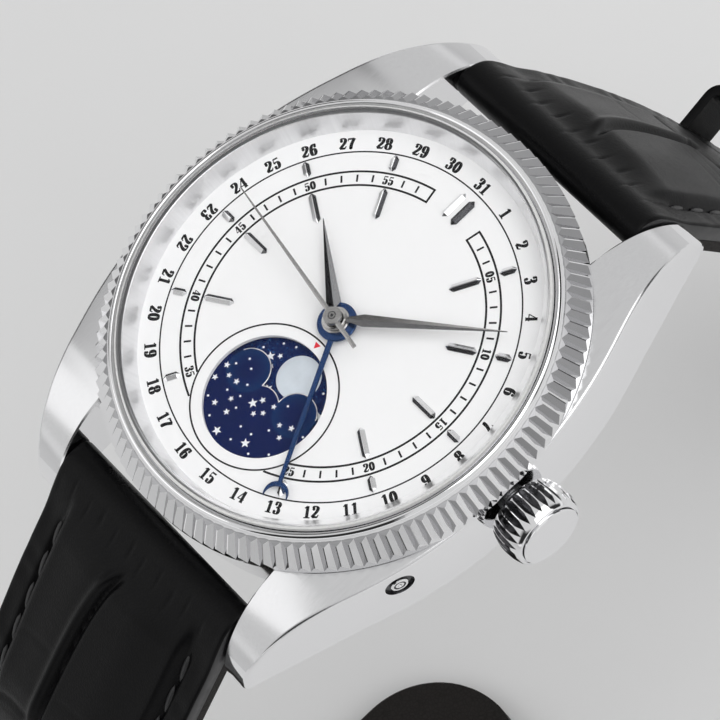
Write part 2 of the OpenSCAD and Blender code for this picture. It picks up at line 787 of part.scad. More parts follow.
module hour_wheel() {
    color("gold") difference() {
        union() {
            translate([0, 0, hour_wheel_z])
                pinion(mesh_r(minute_dist, hour_teeth, minute_pinion_teeth), hour_teeth, wheel_t);
            post(hour_pipe_r, hour_wheel_z, hour_hand_z + hand_t);
        }
        post(hour_pipe_in_r, hour_wheel_z - cut, hour_hand_z + hand_t + cut);
    }
}

module minute_wheel() {
    color("gold") translate([minute_wheel_at[0], minute_wheel_at[1], 0]) {
        translate([0, 0, motion_z])
            pinion(mesh_r(minute_dist, minute_teeth, cannon_teeth), minute_teeth, wheel_t);
        translate([0, 0, motion_z + wheel_t])
            pinion(mesh_r(minute_dist, minute_pinion_teeth, hour_teeth), minute_pinion_teeth,
                wheel_t + run_gap);
        post(pivot_r, plate_top - blind_hole + cut, motion_z);
    }
}

module cannon_pinion() {
    color("darkgray") difference() {
        union() {
            post(cannon_r, centre_z + wheel_t, minute_hand_z + hand_t);
            translate([0, 0, motion_z])
                pinion(mesh_r(minute_dist, cannon_teeth, minute_teeth), cannon_teeth, wheel_t);
        }
        post(cannon_in_r, centre_z - cut, minute_hand_z + hand_t + cut);
    }
}

// Crown, stem and corrector
module crown() {
    chamfer = crown_l * 0.14;
    color("gainsboro") difference() {
        union() {
            difference() {
                on_crown_axis() translate([0, 0, crown_x])
                    rotate_extrude($fn = round_fn) polygon([[0, 0], [crown_r * 0.86, 0],
                        [crown_r, chamfer], [crown_r, crown_l - chamfer], [crown_r * 0.88, crown_l],
                        [0, crown_l]]);
                for (i = [0:crown_flutes - 1]) on_crown_axis() rotate(i * 360 / crown_flutes)
                    translate([crown_r * 1.03, 0, crown_x - cut]) rotate(45)
                        cube([crown_r * 0.13, crown_r * 0.13, 2 * (crown_l - chamfer * 0.8)], center = true);
            }
            on_crown_axis() translate([0, 0, crown_end])
                cylinder(r = crown_disc_r, h = crown_disc_t, $fn = round_fn);
        }
        on_crown_axis() translate([0, 0, crown_x - cut])
            cylinder(r = crown_socket_r, h = crown_socket_l + cut, $fn = small_fn);
    }
}

module crown_tube() {
    color("silver") on_crown_axis() translate([0, 0, tube_in_x])
        tube(tube_r, tube_in_r, tube_out_x - tube_in_x);
}

module crown_gasket() {
    color("black") on_crown_axis() translate([0, 0, tube_out_x - crown_gasket_in])
        tube(tube_in_r - slip_gap, stem_r + slip_gap, crown_gasket_l);
}

module winding_stem() {
    color("dimgray") on_crown_axis() translate([0, 0, stem_in_x])
        cylinder(r = stem_r, h = crown_x + crown_socket_l - stem_in_x, $fn = small_fn);
}

module winding_pinion() {
    color("darkgray") on_crown_axis() translate([0, 0, stem_in_x + stem_nose]) difference() {
        pinion(winding_pinion_r, winding_teeth, winding_pinion_l);
        translate([0, 0, -cut]) cylinder(r = stem_r, h = winding_pinion_l + 2 * cut, $fn = small_fn);
    }
}

module corrector_button() {
    color("silver") on_corrector_axis() {
        translate([0, 0, -corrector_l]) cylinder(r = corrector_r, h = corrector_l, $fn = small_fn);
        translate([0, 0, -corrector_l - corrector_foot_t])
            cylinder(r = corrector_foot_r, h = corrector_foot_t, $fn = small_fn);
    }
}

module corrector_gasket() {
    color("black") on_corrector_axis() translate([0, 0, run_gap - corrector_l])
        tube(corrector_foot_r + corrector_gasket_w, corrector_r + slip_gap, corrector_gasket_l);
}

// Case back
module case_back_ring() {
    seat_r = back_glass_r + gasket_w;
    color("silver") difference() {
        rotate_extrude($fn = round_fn) polygon([
            [seat_r, 0], [back_r - back_bevel, 0], [back_r, back_bevel], [back_r, back_flange_t],
            [chamber_r - run_gap, back_flange_t], [chamber_r - run_gap, back_ring_top],
            [back_open_r, back_ring_top], [back_open_r, back_glass_t], [seat_r, back_glass_t]]);
        for (i = [0:back_notches - 1]) rotate(i * 360 / back_notches)
            translate([back_r - back_notch_l, -back_notch_w / 2, -cut])
                cube([2 * back_notch_l, back_notch_w, back_notch_h + cut]);
    }
}

module case_back_glass() {
    color("lightblue", 0.4) post(back_glass_r, 0, back_glass_t);
}

module back_glass_gasket() {
    color("white") tube(back_glass_r + gasket_w, back_glass_r + seat_gap, back_glass_t);
}

module case_back_gasket() {
    color("black") translate([0, 0, middle_z])
        tube(back_gasket_r + back_gasket_w - seat_gap, back_gasket_r + seat_gap, back_gasket_w - seat_gap);
}

// Movement: ring, plate, bridges and their screws
module movement_ring() {
    color("lightgray") difference() {
        translate([0, 0, back_ring_top])
            tube(chamber_r - seat_gap, plate_r + seat_gap, dial_z - back_ring_top);
        on_crown_axis() cylinder(r = stem_r + stem_room, h = crown_x, $fn = small_fn);
        on_corrector_axis() translate([0, 0, -crown_x])
            cylinder(r = corrector_foot_r + corrector_seat_gap, h = crown_x, $fn = small_fn);
    }
}

module main_plate() {
    color("silver") difference() {
        union() {
            post(plate_r, plate_z, plate_top);
            translate([0, 0, rim_z]) tube(plate_r, plate_r - rim_w, plate_z - rim_z + cut);
        }
        translate(barrel_at) post(barrel_r + 3 * run_gap, plate_z - cut, upper_z + barrel_h + run_gap);
        translate(barrel_at) post(barrel_arbor_r + run_gap, plate_z, plate_top + cut);
        post(cannon_r + run_gap, plate_z - cut, plate_top + cut);
        for (p = [third_at, escape_at, balance_at, pallet_at])
            translate(p) post(jewel_r, plate_z - cut, plate_z + jewel_t);
        translate([0, -moon_y]) post(moon_arbor_r + run_gap, plate_top - blind_hole, plate_top + cut);
        translate(minute_wheel_at) post(pivot_r + run_gap, plate_top - blind_hole, plate_top + cut);
        for (a = dial_foot_angles) rotate(a) translate([plate_r - dial_foot_in, 0])
            post(dial_foot_r + run_gap, plate_top - blind_hole, plate_top + cut);
        on_crown_axis() cylinder(r = stem_r + stem_room, h = crown_x, $fn = small_fn);
    }
}

module at_screws() {
    for (a = screw_angles) rotate(a) translate([plate_r - screw_ring_in, 0]) children();
}

// The bridges cover the train and leave the balance in the open under its own cock
module train_bridge() {
    pocket_r = winding_pinion_r + 3 * run_gap;
    color("gainsboro") difference() {
        intersection() {
            post(plate_r - bridge_inset, bridge_z, rim_z);
            translate([0, 0, bridge_z]) linear_extrude(bridge_t) difference() {
                circle(r = plate_r, $fn = round_fn);
                translate(balance_at) circle(r = balance_r + bridge_t, $fn = round_fn);
                polygon([balance_at, [-plate_r, plate_r * 0.32], [-plate_r, -plate_r],
                    [-plate_r * 0.1, -plate_r]]);
            }
        }
        for (p = [[0, 0], third_at, escape_at])
            translate(p) post(jewel_r, rim_z - jewel_t, rim_z + cut);
        translate(barrel_at) post(barrel_arbor_r + run_gap, bridge_z - cut, rim_z + cut);
        at_screws() post(screw_r, bridge_z - cut, rim_z + cut);
        post(bearing_r, bridge_z - cut, bridge_z + bearing_seat);
        translate(crown_wheel_at) post(crown_wheel_post_r, bridge_z - cut, bridge_z + post_hole);
        translate(click_at) post(click_pin_r + run_gap, bridge_z - cut, bridge_z + post_hole);
        translate([stem_in_x - stem_nose, -pocket_r, bridge_z - cut])
            cube([plate_r, 2 * pocket_r, bridge_t + 2 * cut]);
    }
}

module balance_cock() {
    foot_l = cock_w * 0.18;
    arm = norm(balance_at);
    color("gainsboro") difference() {
        intersection() {
            post(plate_r - bridge_inset, bridge_z, rim_z);
            rotate(atan2(balance_at[1], balance_at[0])) translate([arm - cock_w * 0.41, 0, bridge_z])
                linear_extrude(bridge_t) {
                    circle(r = cock_w * 0.5, $fn = small_fn);
                    translate([0, -cock_w * 0.45]) square([plate_r, cock_w * 0.9]);
                    translate([plate_r - arm - foot_l, -cock_w]) square([cock_w, 2 * cock_w]);
                }
        }
        translate(balance_at) post(jewel_r, rim_z - jewel_t, rim_z + cut);
    }
}

module bridge_screws() {
    color("steelblue") at_screws() difference() {
        post(screw_r - seat_gap, bridge_z + screw_sink, rim_z);
        translate([-screw_r, -screw_slot_w / 2, bridge_z])
            cube([2 * screw_r, screw_slot_w, screw_sink + screw_slot_h]);
    }
}

module jewel(p, z) {
    translate([p[0], p[1], z]) difference() {
        cylinder(r = jewel_r - seat_gap, h = jewel_t, $fn = small_fn);
        translate([0, 0, -cut]) cylinder(r = pivot_r + slip_gap, h = jewel_t + 2 * cut, $fn = small_fn);
    }
}

module jewels() {
    color("crimson") {
        for (p = [third_at, escape_at, balance_at, pallet_at]) jewel(p, plate_z);
        for (p = [third_at, escape_at, balance_at]) jewel(p, rim_z - jewel_t);
        jewel([0, 0], rim_z - jewel_t);
    }
}

// Power: barrel, ratchet, crown wheel and click
module mainspring_barrel() {
    shell_r = barrel_r - 1.4 * tooth_h;
    color("gold") translate(barrel_at) difference() {
        union() {
            translate([0, 0, upper_z]) pinion(barrel_r, barrel_teeth, wheel_t * 1.4);
            post(shell_r, upper_z, upper_z + barrel_h);
        }
        post(barrel_arbor_r + run_gap, upper_z - cut, upper_z + barrel_h + cut);
    }
}

module ratchet_wheel() {
    color("silver") translate(barrel_at) {
        translate([0, 0, winding_z]) pinion(ratchet_r, ratchet_teeth, winding_t);
        post(barrel_arbor_r, winding_z, plate_top - cut);
    }
}

module crown_wheel() {
    color("silver") translate(crown_wheel_at) {
        translate([0, 0, winding_z]) pinion(crown_wheel_r, crown_wheel_teeth, winding_t);
        post(crown_wheel_post_r - run_gap, winding_z, bridge_z + bridge_post_l);
    }
}

module click() {
    color("silver") translate(click_at) {
        translate([0, 0, winding_z]) linear_extrude(winding_t) {
            circle(r = click_r, $fn = small_fn);
            polygon([[-click_r * 0.6, -click_r * 0.8], [click_l, -click_r * 0.4], [click_l, 0],
                [-click_r * 0.4, click_r * 0.9]]);
        }
        post(click_pin_r, winding_z, bridge_z + bridge_post_l);
    }
}

// Going train
module train_pivots() {
    post(pivot_r, rim_z - jewel_t + pivot_end, plate_z + jewel_t - pivot_end);
}

module centre_wheel() {
    color("gold") difference() {
        union() {
            translate([0, 0, centre_z])
                wheel(mesh_r(third_dist, centre_teeth, third_pinion_teeth), centre_teeth, 5, cannon_in_r);
            translate([0, 0, upper_z])
                pinion(mesh_r(centre_dist, centre_pinion_teeth, barrel_teeth), centre_pinion_teeth,
                    pinion_t);
            post(cannon_r + wheel_t, centre_z, upper_z + pinion_t);
        }
        post(cannon_r, centre_z + wheel_t, upper_z + pinion_t + cut);
        post(cannon_in_r, centre_z - cut, upper_z);
    }
}

module third_wheel() {
    color("gold") translate(third_at) {
        translate([0, 0, third_z])
            wheel(mesh_r(third_dist, third_teeth, fourth_pinion_teeth), third_teeth, 4, pivot_r);
        translate([0, 0, third_z + wheel_t])
            pinion(mesh_r(third_dist, third_pinion_teeth, centre_teeth), third_pinion_teeth, pinion_t);
        train_pivots();
    }
}

module fourth_wheel() {
    color("gold") {
        translate([0, 0, fourth_z])
            wheel(mesh_r(escape_dist, fourth_teeth, escape_pinion_teeth), fourth_teeth, 5, seconds_arbor_r);
        translate([0, 0, fourth_z + wheel_t])
            pinion(mesh_r(third_dist, fourth_pinion_teeth, third_teeth), fourth_pinion_teeth,
                wheel_t + level_gap);
        post(pivot_r, rim_z - jewel_t + pivot_end, fourth_z);
        post(seconds_arbor_r, fourth_z, seconds_hand_z + hand_t * 0.8);
    }
}

// The escape wheel's teeth are points, in shares of its radius and of one tooth's angle
module escape_wheel() {
    tooth_shares = [[0.74, 0], [1, 0.28], [0.98, 0.4], [0.76, 0.5]];
    color("gold") translate(escape_at) {
        translate([0, 0, upper_z]) linear_extrude(wheel_t) difference() {
            polygon([for (i = [0:14]) for (q = tooth_shares)
                escape_r * q[0] * [cos((i + q[1]) * 24), sin((i + q[1]) * 24)]]);
            difference() {
                circle(r = escape_r * 0.62, $fn = small_fn);
                circle(r = escape_r * 0.2, $fn = small_fn);
                for (i = [0:3]) rotate(i * 90) translate([0, -escape_r * 0.06])
                    square([escape_r * 0.66, escape_r * 0.12]);
            }
        }
        translate([0, 0, fourth_z])
            pinion(mesh_r(escape_dist, escape_pinion_teeth, fourth_teeth), escape_pinion_teeth,
                wheel_t + level_gap / 2);
        train_pivots();
    }
}

module pallet_fork() {
    color("silver") translate(pallet_at) rotate(pallet_angle) {
        translate([0, 0, upper_z]) linear_extrude(wheel_t) {
            circle(r = pallet_l * 0.18, $fn = small_fn);
            translate([-pallet_l * 0.06, -pallet_l / 2]) square([pallet_l * 0.12, pallet_l]);
            translate([0, -pallet_l * 0.05]) square([pallet_l, pallet_l * 0.1]);
            translate([pallet_l * 0.9, -pallet_l * 0.17]) square([pallet_l * 0.1, pallet_l * 0.34]);
        }
        post(pivot_r, upper_z, plate_z + jewel_t - pivot_end);
    }
}

module balance_wheel() {
    r = balance_r;
    color("gold") translate(balance_at) {
        translate([0, 0, balance_z]) linear_extrude(balance_t) difference() {
            circle(r = r, $fn = round_fn);
            difference() {
                circle(r = r * 0.84, $fn = round_fn);
                circle(r = r * 0.14, $fn = small_fn);
                for (i = [0:2]) rotate(i * 120) translate([0, -r * 0.06]) square([r, r * 0.12]);
            }
        }
        post(arbor_r, fourth_z, upper_z - run_gap);
        train_pivots();
    }
}

// A flat spiral strip between two radii
module spiral(r0, r1, turns, w, h) {
    n = turns * 18;
    linear_extrude(h) polygon(concat(
        [for (i = [0:n]) (r0 + (r1 - r0) * i / n) * [cos(i * 20), sin(i * 20)]],
        [for (i = [n:-1:0]) (r0 + w + (r1 - r0) * i / n) * [cos(i * 20), sin(i * 20)]]));
}

module hairspring() {
    color("steelblue") translate([balance_at[0], balance_at[1], hairspring_z + seat_gap])
        spiral(arbor_r + slip_gap, balance_r * 0.52, 7, arbor_r * 0.3, wheel_t * 0.8);
}

// Winding rotor
module rotor() {
    r = rotor_r;
    web_z = back_ring_top + rotor_gap;
    color("silver") difference() {
        union() {
            intersection() {
                union() {
                    translate([0, 0, web_z]) cylinder(r = r, h = rotor_web_t, $fn = round_fn);
                    translate([0, 0, web_z]) tube(r, r * 0.86, rotor_rim_t - rotor_gap);
                }
                translate([-r, -r * 2, 0]) cube([2 * r, 2 * r, middle_h]);
            }
            post(r * 0.16, web_z, web_z + rotor_web_t);
        }
        post(bearing_r + run_gap, web_z - cut, web_z + rotor_web_t + cut);
        for (a = [-150, -110, -70, -30]) rotate(a) translate([r * 0.55, 0])
            post(r * 0.12, web_z - cut, web_z + rotor_web_t + cut);
    }
}

module rotor_bearing() {
    low_z = back_ring_top + run_gap;
    color("silver") {
        post(bearing_r - seat_gap, low_z, bridge_z + bearing_seat);
        post(bearing_r + bearing_shoulder_w, back_ring_top + bearing_shoulder_h, bridge_z);
        post(bearing_r + bearing_cap_w, low_z, low_z + bearing_cap_t);
    }
}

// Spring bars
module spring_bars() {
    color("silver") for (end = [-1, 1]) translate([0, end * bar_y, bar_z]) rotate([0, 90, 0]) {
        cylinder(r = bar_r, h = lug_gap - 2 * bar_end_gap, center = true, $fn = small_fn);
        cylinder(r = bar_tip_r, h = lug_gap + 2 * bar_tip_l, center = true, $fn = small_fn);
    }
}

// Strap halves, drawn in the side view and cut to their taper
module layer(path, low, high, from, to) {
    part = [for (q = path) if (q[3] >= from - seat_gap && q[3] <= to + seat_gap) q];
    n = len(part);
    polygon(concat([for (q = part) lift(q, low)], [for (i = [n - 1:-1:0]) lift(part[i], high(part[i]))]));
}

// Front view of a strap half: full width at the lugs, narrowing down to a given height
module strap_taper(narrow_z) {
    wide_z = bar_z - taper_drop;
    top_z = bar_z + 2 * loop_r;
    bottom_z = floor_z - 2 * strap_w;
    reach = 3 * lug_reach;
    rotate([90, 0, 0]) translate([0, 0, -reach]) linear_extrude(2 * reach)
        polygon([[-strap_w / 2, top_z], [-strap_w / 2, wide_z], [-strap_end_w / 2, narrow_z],
            [-strap_end_w / 2, bottom_z], [strap_end_w / 2, bottom_z], [strap_end_w / 2, narrow_z],
            [strap_w / 2, wide_z], [strap_w / 2, top_z]]);
}

module strap_upper(path, l) {
    difference() {
        union() {
            layer(path, 0, function (q) upper_at(q, l), 0, l);
            translate([path[0][0], path[0][1]]) circle(r = loop_r, $fn = small_fn);
        }
        translate([path[0][0], path[0][1]]) circle(r = loop_bore_r, $fn = small_fn);
    }
}

module strap_padding(path, l, to) {
    layer(path, seat_gap, function (q) upper_at(q, l) - padding_cover, padding_in, to);
}

module strap_lining(path, l) {
    difference() {
        layer(path, -lining_t, function (q) 0, 0, l);
        translate([path[0][0], path[0][1]]) circle(r = loop_r, $fn = small_fn);
    }
}

module padding_pocket(path, l, to) {
    across(strap_w - 2 * padding_margin)
        layer(path, -cut, function (q) upper_at(q, l) - padding_cover + seat_gap,
            padding_in - padding_room, to);
}

module end_12_loop(r) {
    translate([0, end_12[0], end_12[1]]) rotate([0, 90, 0])
        cylinder(r = r, h = strap_end_w, center = true, $fn = small_fn);
}

module buckle_slot_12() {
    translate([0, end_12[0], end_12[1]]) rotate([-end_12[2], 0, 0])
        translate([-tongue_slot_w / 2, -tongue_slot_l, -2 * buckle_loop_r])
            cube([tongue_slot_w, tongue_slot_l + 2 * buckle_loop_r, 4 * buckle_loop_r]);
}

module strap_12_upper() {
    color("black") difference() {
        intersection() {
            union() {
                across(strap_w) strap_upper(path_12, strap_12_l);
                end_12_loop(buckle_loop_r);
            }
            strap_taper(end_12[1] + strap_w);
        }
        padding_pocket(path_12, strap_12_l, strap_12_l - padding_end_12);
        end_12_loop(buckle_bar_r + run_gap);
        buckle_slot_12();
    }
}

module strap_12_padding() {
    color("dimgray") intersection() {
        across(strap_w - 2 * padding_margin - 2 * seat_gap)
            strap_padding(path_12, strap_12_l, strap_12_l - padding_end_12);
        strap_taper(end_12[1] + strap_w);
    }
}

module strap_12_lining() {
    color("saddlebrown") difference() {
        intersection() {
            across(strap_w) strap_lining(path_12, strap_12_l);
            strap_taper(end_12[1] + strap_w);
        }
        end_12_loop(buckle_loop_r);
        buckle_slot_12();
    }
}

// The tail ends in a half round and has a row of tongue holes in its straight drop
drop_top = path_6[shoulder_count + 1];
module tail_cuts() {
    translate([0, -drop_top[0], 0]) for (i = [0:tongue_holes - 1])
        translate([0, 0, drop_top[1] - first_hole_drop - i * tongue_hole_pitch]) rotate([90, 0, 0])
            cylinder(r = tongue_hole_d / 2, h = 4 * upper_t, center = true, $fn = small_fn);
}

module tail_plan() {
    round_y = end_6[0] + strap_end_w / 2;
    translate([0, 0, end_6[1] - 4 * upper_t]) linear_extrude(bar_z - end_6[1] + 6 * upper_t) {
        translate([0, -round_y]) circle(r = strap_end_w / 2, $fn = round_fn);
        translate([-strap_w, -round_y - 4 * lug_reach]) square([2 * strap_w, 4 * lug_reach]);
    }
}

module side_6() {
    mirror([0, 1, 0]) children();
}

module strap_6_upper() {
    color("black") difference() {
        intersection() {
            side_6() across(strap_w) strap_upper(path_6, length_6);
            strap_taper(drop_top[1] - strap_w / 2);
            tail_plan();
        }
        side_6() padding_pocket(path_6, length_6, length_6 - padding_end_6);
        tail_cuts();
    }
}

module strap_6_padding() {
    color("dimgray") intersection() {
        side_6() across(strap_w - 2 * padding_margin - 2 * seat_gap)
            strap_padding(path_6, length_6, length_6 - padding_end_6);
        strap_taper(drop_top[1] - strap_w / 2);
    }
}

module strap_6_lining() {
    color("saddlebrown") difference() {
        intersection() {
            side_6() across(strap_w) strap_lining(path_6, length_6);
            strap_taper(drop_top[1] - strap_w / 2);
            tail_plan();
        }
        tail_cuts();
    }
}

// Keepers and buckle
function place_at(s) = let (i = floor(s * count_12 / strap_12_l), f = s * count_12 / strap_12_l - i)
    path_12[i] * (1 - f) + path_12[min(i + 1, count_12)] * f;

module on_strap_12(s) {
    q = place_at(s);
    translate([0, q[0], q[1]]) rotate([-q[2], 0, 0]) children();
}

module keeper(s) {
    q = place_at(s);
    t = upper_at(q, strap_12_l);
    w = strap_end_w + 2 * (keeper_gap + keeper_side_gap);
    low = -lining_t - keeper_gap;
    high = t + keeper_room;
    on_strap_12(s) difference() {
        translate([-w / 2 - keeper_wall, -keeper_l / 2, low - keeper_wall])
            cube([w + 2 * keeper_wall, keeper_l, high - low + 2 * keeper_wall]);
        translate([-w / 2, -keeper_l / 2 - cut, low]) cube([w, keeper_l + 2 * cut, high - low]);
    }
}

module fixed_keeper() {
    color("black") keeper(fixed_keeper_s);
}

module free_keeper() {
    color("black") keeper(free_keeper_s);
}

module on_buckle() {
    translate([0, end_12[0], end_12[1]]) rotate([-end_12[2], 0, 0]) children();
}

module bar_rod(r, w) {
    rotate([0, 90, 0]) cylinder(r = r, h = w, center = true, $fn = small_fn);
}

module buckle_bar() {
    color("silver") on_buckle() bar_rod(buckle_bar_r, buckle_w + 2 * (buckle_side - buckle_bar_end_gap));
}

module buckle_frame() {
    out_w = buckle_w / 2 + buckle_side;
    back_l = buckle_rod * 0.8;
    color("silver") on_buckle() difference() {
        translate([-out_w, -back_l, -buckle_rod / 2])
            cube([2 * out_w, buckle_l + buckle_rod + back_l, buckle_rod]);
        translate([-buckle_w / 2, -buckle_rod, -buckle_rod])
            cube([buckle_w, buckle_l + buckle_rod, 2 * buckle_rod]);
        bar_rod(buckle_bar_r + run_gap, 2 * out_w + 2 * cut);
    }
}

module buckle_tongue() {
    color("silver") on_buckle() difference() {
        union() {
            bar_rod(buckle_bar_r + tongue_t, tongue_w);
            translate([-tongue_w / 2, 0, buckle_rod / 2 + run_gap])
                cube([tongue_w, buckle_l + buckle_rod * 0.8, tongue_t]);
        }
        bar_rod(buckle_bar_r + run_gap, tongue_w + 2 * cut);
    }
}

case_middle();
bezel();
crystal();
crystal_gasket();
rehaut_ring();
dial();
hour_markers();
moon_cover();
moon_disc();
date_wheel();
date_hand();
hour_wheel();
hour_hand();
cannon_pinion();
minute_hand();
seconds_hand();
minute_wheel();
crown();
crown_tube();
crown_gasket();
winding_stem();
winding_pinion();
corrector_button();
corrector_gasket();
case_back_ring();
case_back_glass();
case_back_gasket();
back_glass_gasket();
movement_ring();
main_plate();
train_bridge();
balance_cock();
bridge_screws();
jewels();
mainspring_barrel();
ratchet_wheel();
crown_wheel();
click();
centre_wheel();
third_wheel();
fourth_wheel();
escape_wheel();
pallet_fork();
balance_wheel();
hairspring();
rotor();
rotor_bearing();
spring_bars();
strap_12_upper();
strap_12_padding();
strap_12_lining();
strap_6_upper();
strap_6_padding();
strap_6_lining();
fixed_keeper();
free_keeper();
buckle_bar();
buckle_frame();
buckle_tongue();
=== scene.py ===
# Moon phase watch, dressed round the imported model. Lengths are millimetres, in properties metres.
import math
import random

import bmesh
import bpy
import numpy as np
from bpy.props import FloatProperty, FloatVectorProperty, IntProperty, PointerProperty
from mathutils import Matrix, Vector


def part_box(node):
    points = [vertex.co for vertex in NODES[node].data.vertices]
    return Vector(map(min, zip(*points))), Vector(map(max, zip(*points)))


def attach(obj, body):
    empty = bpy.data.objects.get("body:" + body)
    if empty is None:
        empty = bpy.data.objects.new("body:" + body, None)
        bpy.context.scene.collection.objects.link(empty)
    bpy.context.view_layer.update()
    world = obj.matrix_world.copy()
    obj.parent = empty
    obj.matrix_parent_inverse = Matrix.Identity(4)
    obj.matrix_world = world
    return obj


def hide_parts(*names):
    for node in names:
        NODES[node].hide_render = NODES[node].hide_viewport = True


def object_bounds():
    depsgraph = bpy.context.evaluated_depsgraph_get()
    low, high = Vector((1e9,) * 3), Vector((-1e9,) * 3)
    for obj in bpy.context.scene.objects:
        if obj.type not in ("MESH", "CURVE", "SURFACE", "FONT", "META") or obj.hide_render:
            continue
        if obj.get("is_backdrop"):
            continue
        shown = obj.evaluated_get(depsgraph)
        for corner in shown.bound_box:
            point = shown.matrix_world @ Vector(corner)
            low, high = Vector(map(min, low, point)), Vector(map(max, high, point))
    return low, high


bl_info = {
    "name": "Moon Phase Watch",
    "version": (1, 0, 0),
    "blender": (4, 5, 0),
    "location": "View3D > Sidebar > Watch",
    "description": "Dresses the packed moon phase watch with its detailed pieces and finishes",
    "category": "Add Mesh",
}

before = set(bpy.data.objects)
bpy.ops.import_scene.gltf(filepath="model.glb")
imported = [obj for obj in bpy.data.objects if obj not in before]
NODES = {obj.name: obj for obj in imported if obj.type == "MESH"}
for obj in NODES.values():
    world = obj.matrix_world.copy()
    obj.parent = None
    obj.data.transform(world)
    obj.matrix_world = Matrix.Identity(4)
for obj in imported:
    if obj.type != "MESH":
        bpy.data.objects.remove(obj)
CAD_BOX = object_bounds()
MM = 0.001


def high(node):
    """Highest corner of a CAD node, in millimetres."""
    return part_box(node)[1] / MM


def low(node):
    """Lowest corner of a CAD node, in millimetres."""
    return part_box(node)[0] / MM


# Properties
def length(name, value, description):
    return FloatProperty(name=name, description=description, default=value * MM, unit="LENGTH", precision=5)


def colour(name, value, description):
    return FloatVectorProperty(name=name, description=description, default=value, size=3, min=0.0, max=1.0,
                               subtype="COLOR")


class CaseSizes(bpy.types.PropertyGroup):
    """Sizes of the case middle and its lugs"""

    drum_r: length("Drum Radius", 19.8, "Radius of the round body between the lugs")
    chamber_r: length("Chamber Radius", 16.9, "Radius of the hollow for the movement")
    chamber_wall: length("Chamber Wall", 0.4, "Wall between the hollow and the gap of the lugs")
    flank_r: length("Flank Radius", 40.0, "Radius of the case flank in plan")
    flank_x: length("Flank Reach", 20.2, "Distance of the flank from the centre at the crown")
    straight_y: length("Straight From", 13.7, "Distance from the centre at which the flank turns straight")
    lug_reach: length("Lug Reach", high("case_middle").y, "Distance of the lug tips from the centre")
    lug_gap: length("Lug Gap", 22.0, "Distance between the two lugs of a pair")
    lug_run: length("Lug Run", 9.8, "Length of the curved part of a lug's top")
    lug_curve_r: length("Lug Curve", 10.8, "Radius of the curve along a lug's top")
    lug_drop: length("Lug Drop", 0.65, "Drop of the underside at a lug's tip")
    edge_r: length("Edge Rounding", 0.32, "Radius of the edge between top face and flank")
    bevel: length("Bevel", 0.14, "Bevel of the lower and inner edges")
    bottom: length("Bottom", 1.0, "Height of the case middle's underside")
    top: length("Top", 7.4, "Height of the case middle's top face")
    tube_hole_r: length("Tube Hole Radius", 1.25, "Radius of the hole for the crown's tube")
    bar_hole_r: length("Bar Hole Radius", 0.54, "Radius of the holes for the spring bars' ends")


class BezelSizes(bpy.types.PropertyGroup):
    """Sizes of the bezel, rehaut and crystal"""

    radius: length("Radius", high("bezel").x, "Outer radius of the bezel")
    bottom: length("Bottom", 7.4, "Height of the bezel's underside")
    flute_count: IntProperty(name="Flutes", description="Number of flutes", default=120, min=3)
    flute_depth: length("Flute Depth", 0.36, "Depth of a flute at the annulus")
    flute_drop: length("Flute Drop", 0.75, "How far a flute runs down the skirt")
    skirt_top: length("Skirt Top", 8.5, "Height at which the fluted cone starts")
    flute_top: length("Flute Top", 9.83, "Height at which the fluted cone ends")
    annulus_r: length("Annulus Radius", 19.35, "Outer radius of the plain annulus")
    ring_out_r: length("Ring Outer Radius", 18.95, "Outer radius of the half-round ring")
    ring_in_r: length("Ring Inner Radius", 18.09, "Inner radius of the half-round ring")
    ring_h: length("Ring Height", 0.61, "Height of the half-round ring")
    crystal_r: length("Crystal Radius", high("crystal").x, "Radius of the crystal")
    crystal_z: length("Crystal Height", low("crystal").z, "Height of the crystal's underside")
    crystal_edge: length("Crystal Edge", 0.72, "Height of the crystal's upright edge")
    crystal_bevel: length("Crystal Bevel", 0.30, "Width of the crystal's ground bevel")
    dome: length("Dome", 0.36, "Rise of the crystal's dome")


class DialSizes(bpy.types.PropertyGroup):
    """Sizes of the dial's print and the moon window"""

    top: length("Dial Top", 8.2, "Height of the dial's face")
    view_r: length("Visible Radius", 16.9, "Radius of the dial inside the rehaut")
    date_r: length("Date Radius", 15.78, "Radius of the middle of the date numerals")
    date_h: length("Date Height", 1.04, "Height of a date numeral")
    date_line_r: length("Date Line Radius", 15.0, "Radius of the line inside the date numerals")
    track_in_r: length("Track Inner Radius", 12.06, "Radius of the minute track's inner line")
    track_out_r: length("Track Outer Radius", 13.26, "Radius of the minute track's outer line")
    minute_h: length("Minute Height", 0.74, "Height of a minute numeral")
    moon_y: length("Moon Window Distance", 8.1965, "Distance of the moon window from the dial's centre")
    moon_r: length("Moon Window Radius", 5.2052, "Radius of the moon window")
    moon_ring_r: length("Moon Ring Radius", 6.2, "Radius of the line round the moon window")


class HandSizes(bpy.types.PropertyGroup):
    """Sizes of the four hands"""

    hour_l: length("Hour Hand", 9.09, "Length of the hour hand")
    hour_w: length("Hour Hand Width", 1.24, "Greatest width of the hour hand")
    minute_l: length("Minute Hand", 14.40, "Length of the minute hand")
    minute_w: length("Minute Hand Width", 1.04, "Greatest width of the minute hand")
    seconds_l: length("Seconds Hand", 14.6, "Length of the seconds hand")
    seconds_tail: length("Seconds Tail", 3.45, "Length of the seconds hand's tail")
    date_l: length("Date Hand", 14.8, "Distance of the crescent's middle from the centre")
    crescent_r: length("Crescent Radius", 1.05, "Outer radius of the date hand's crescent")


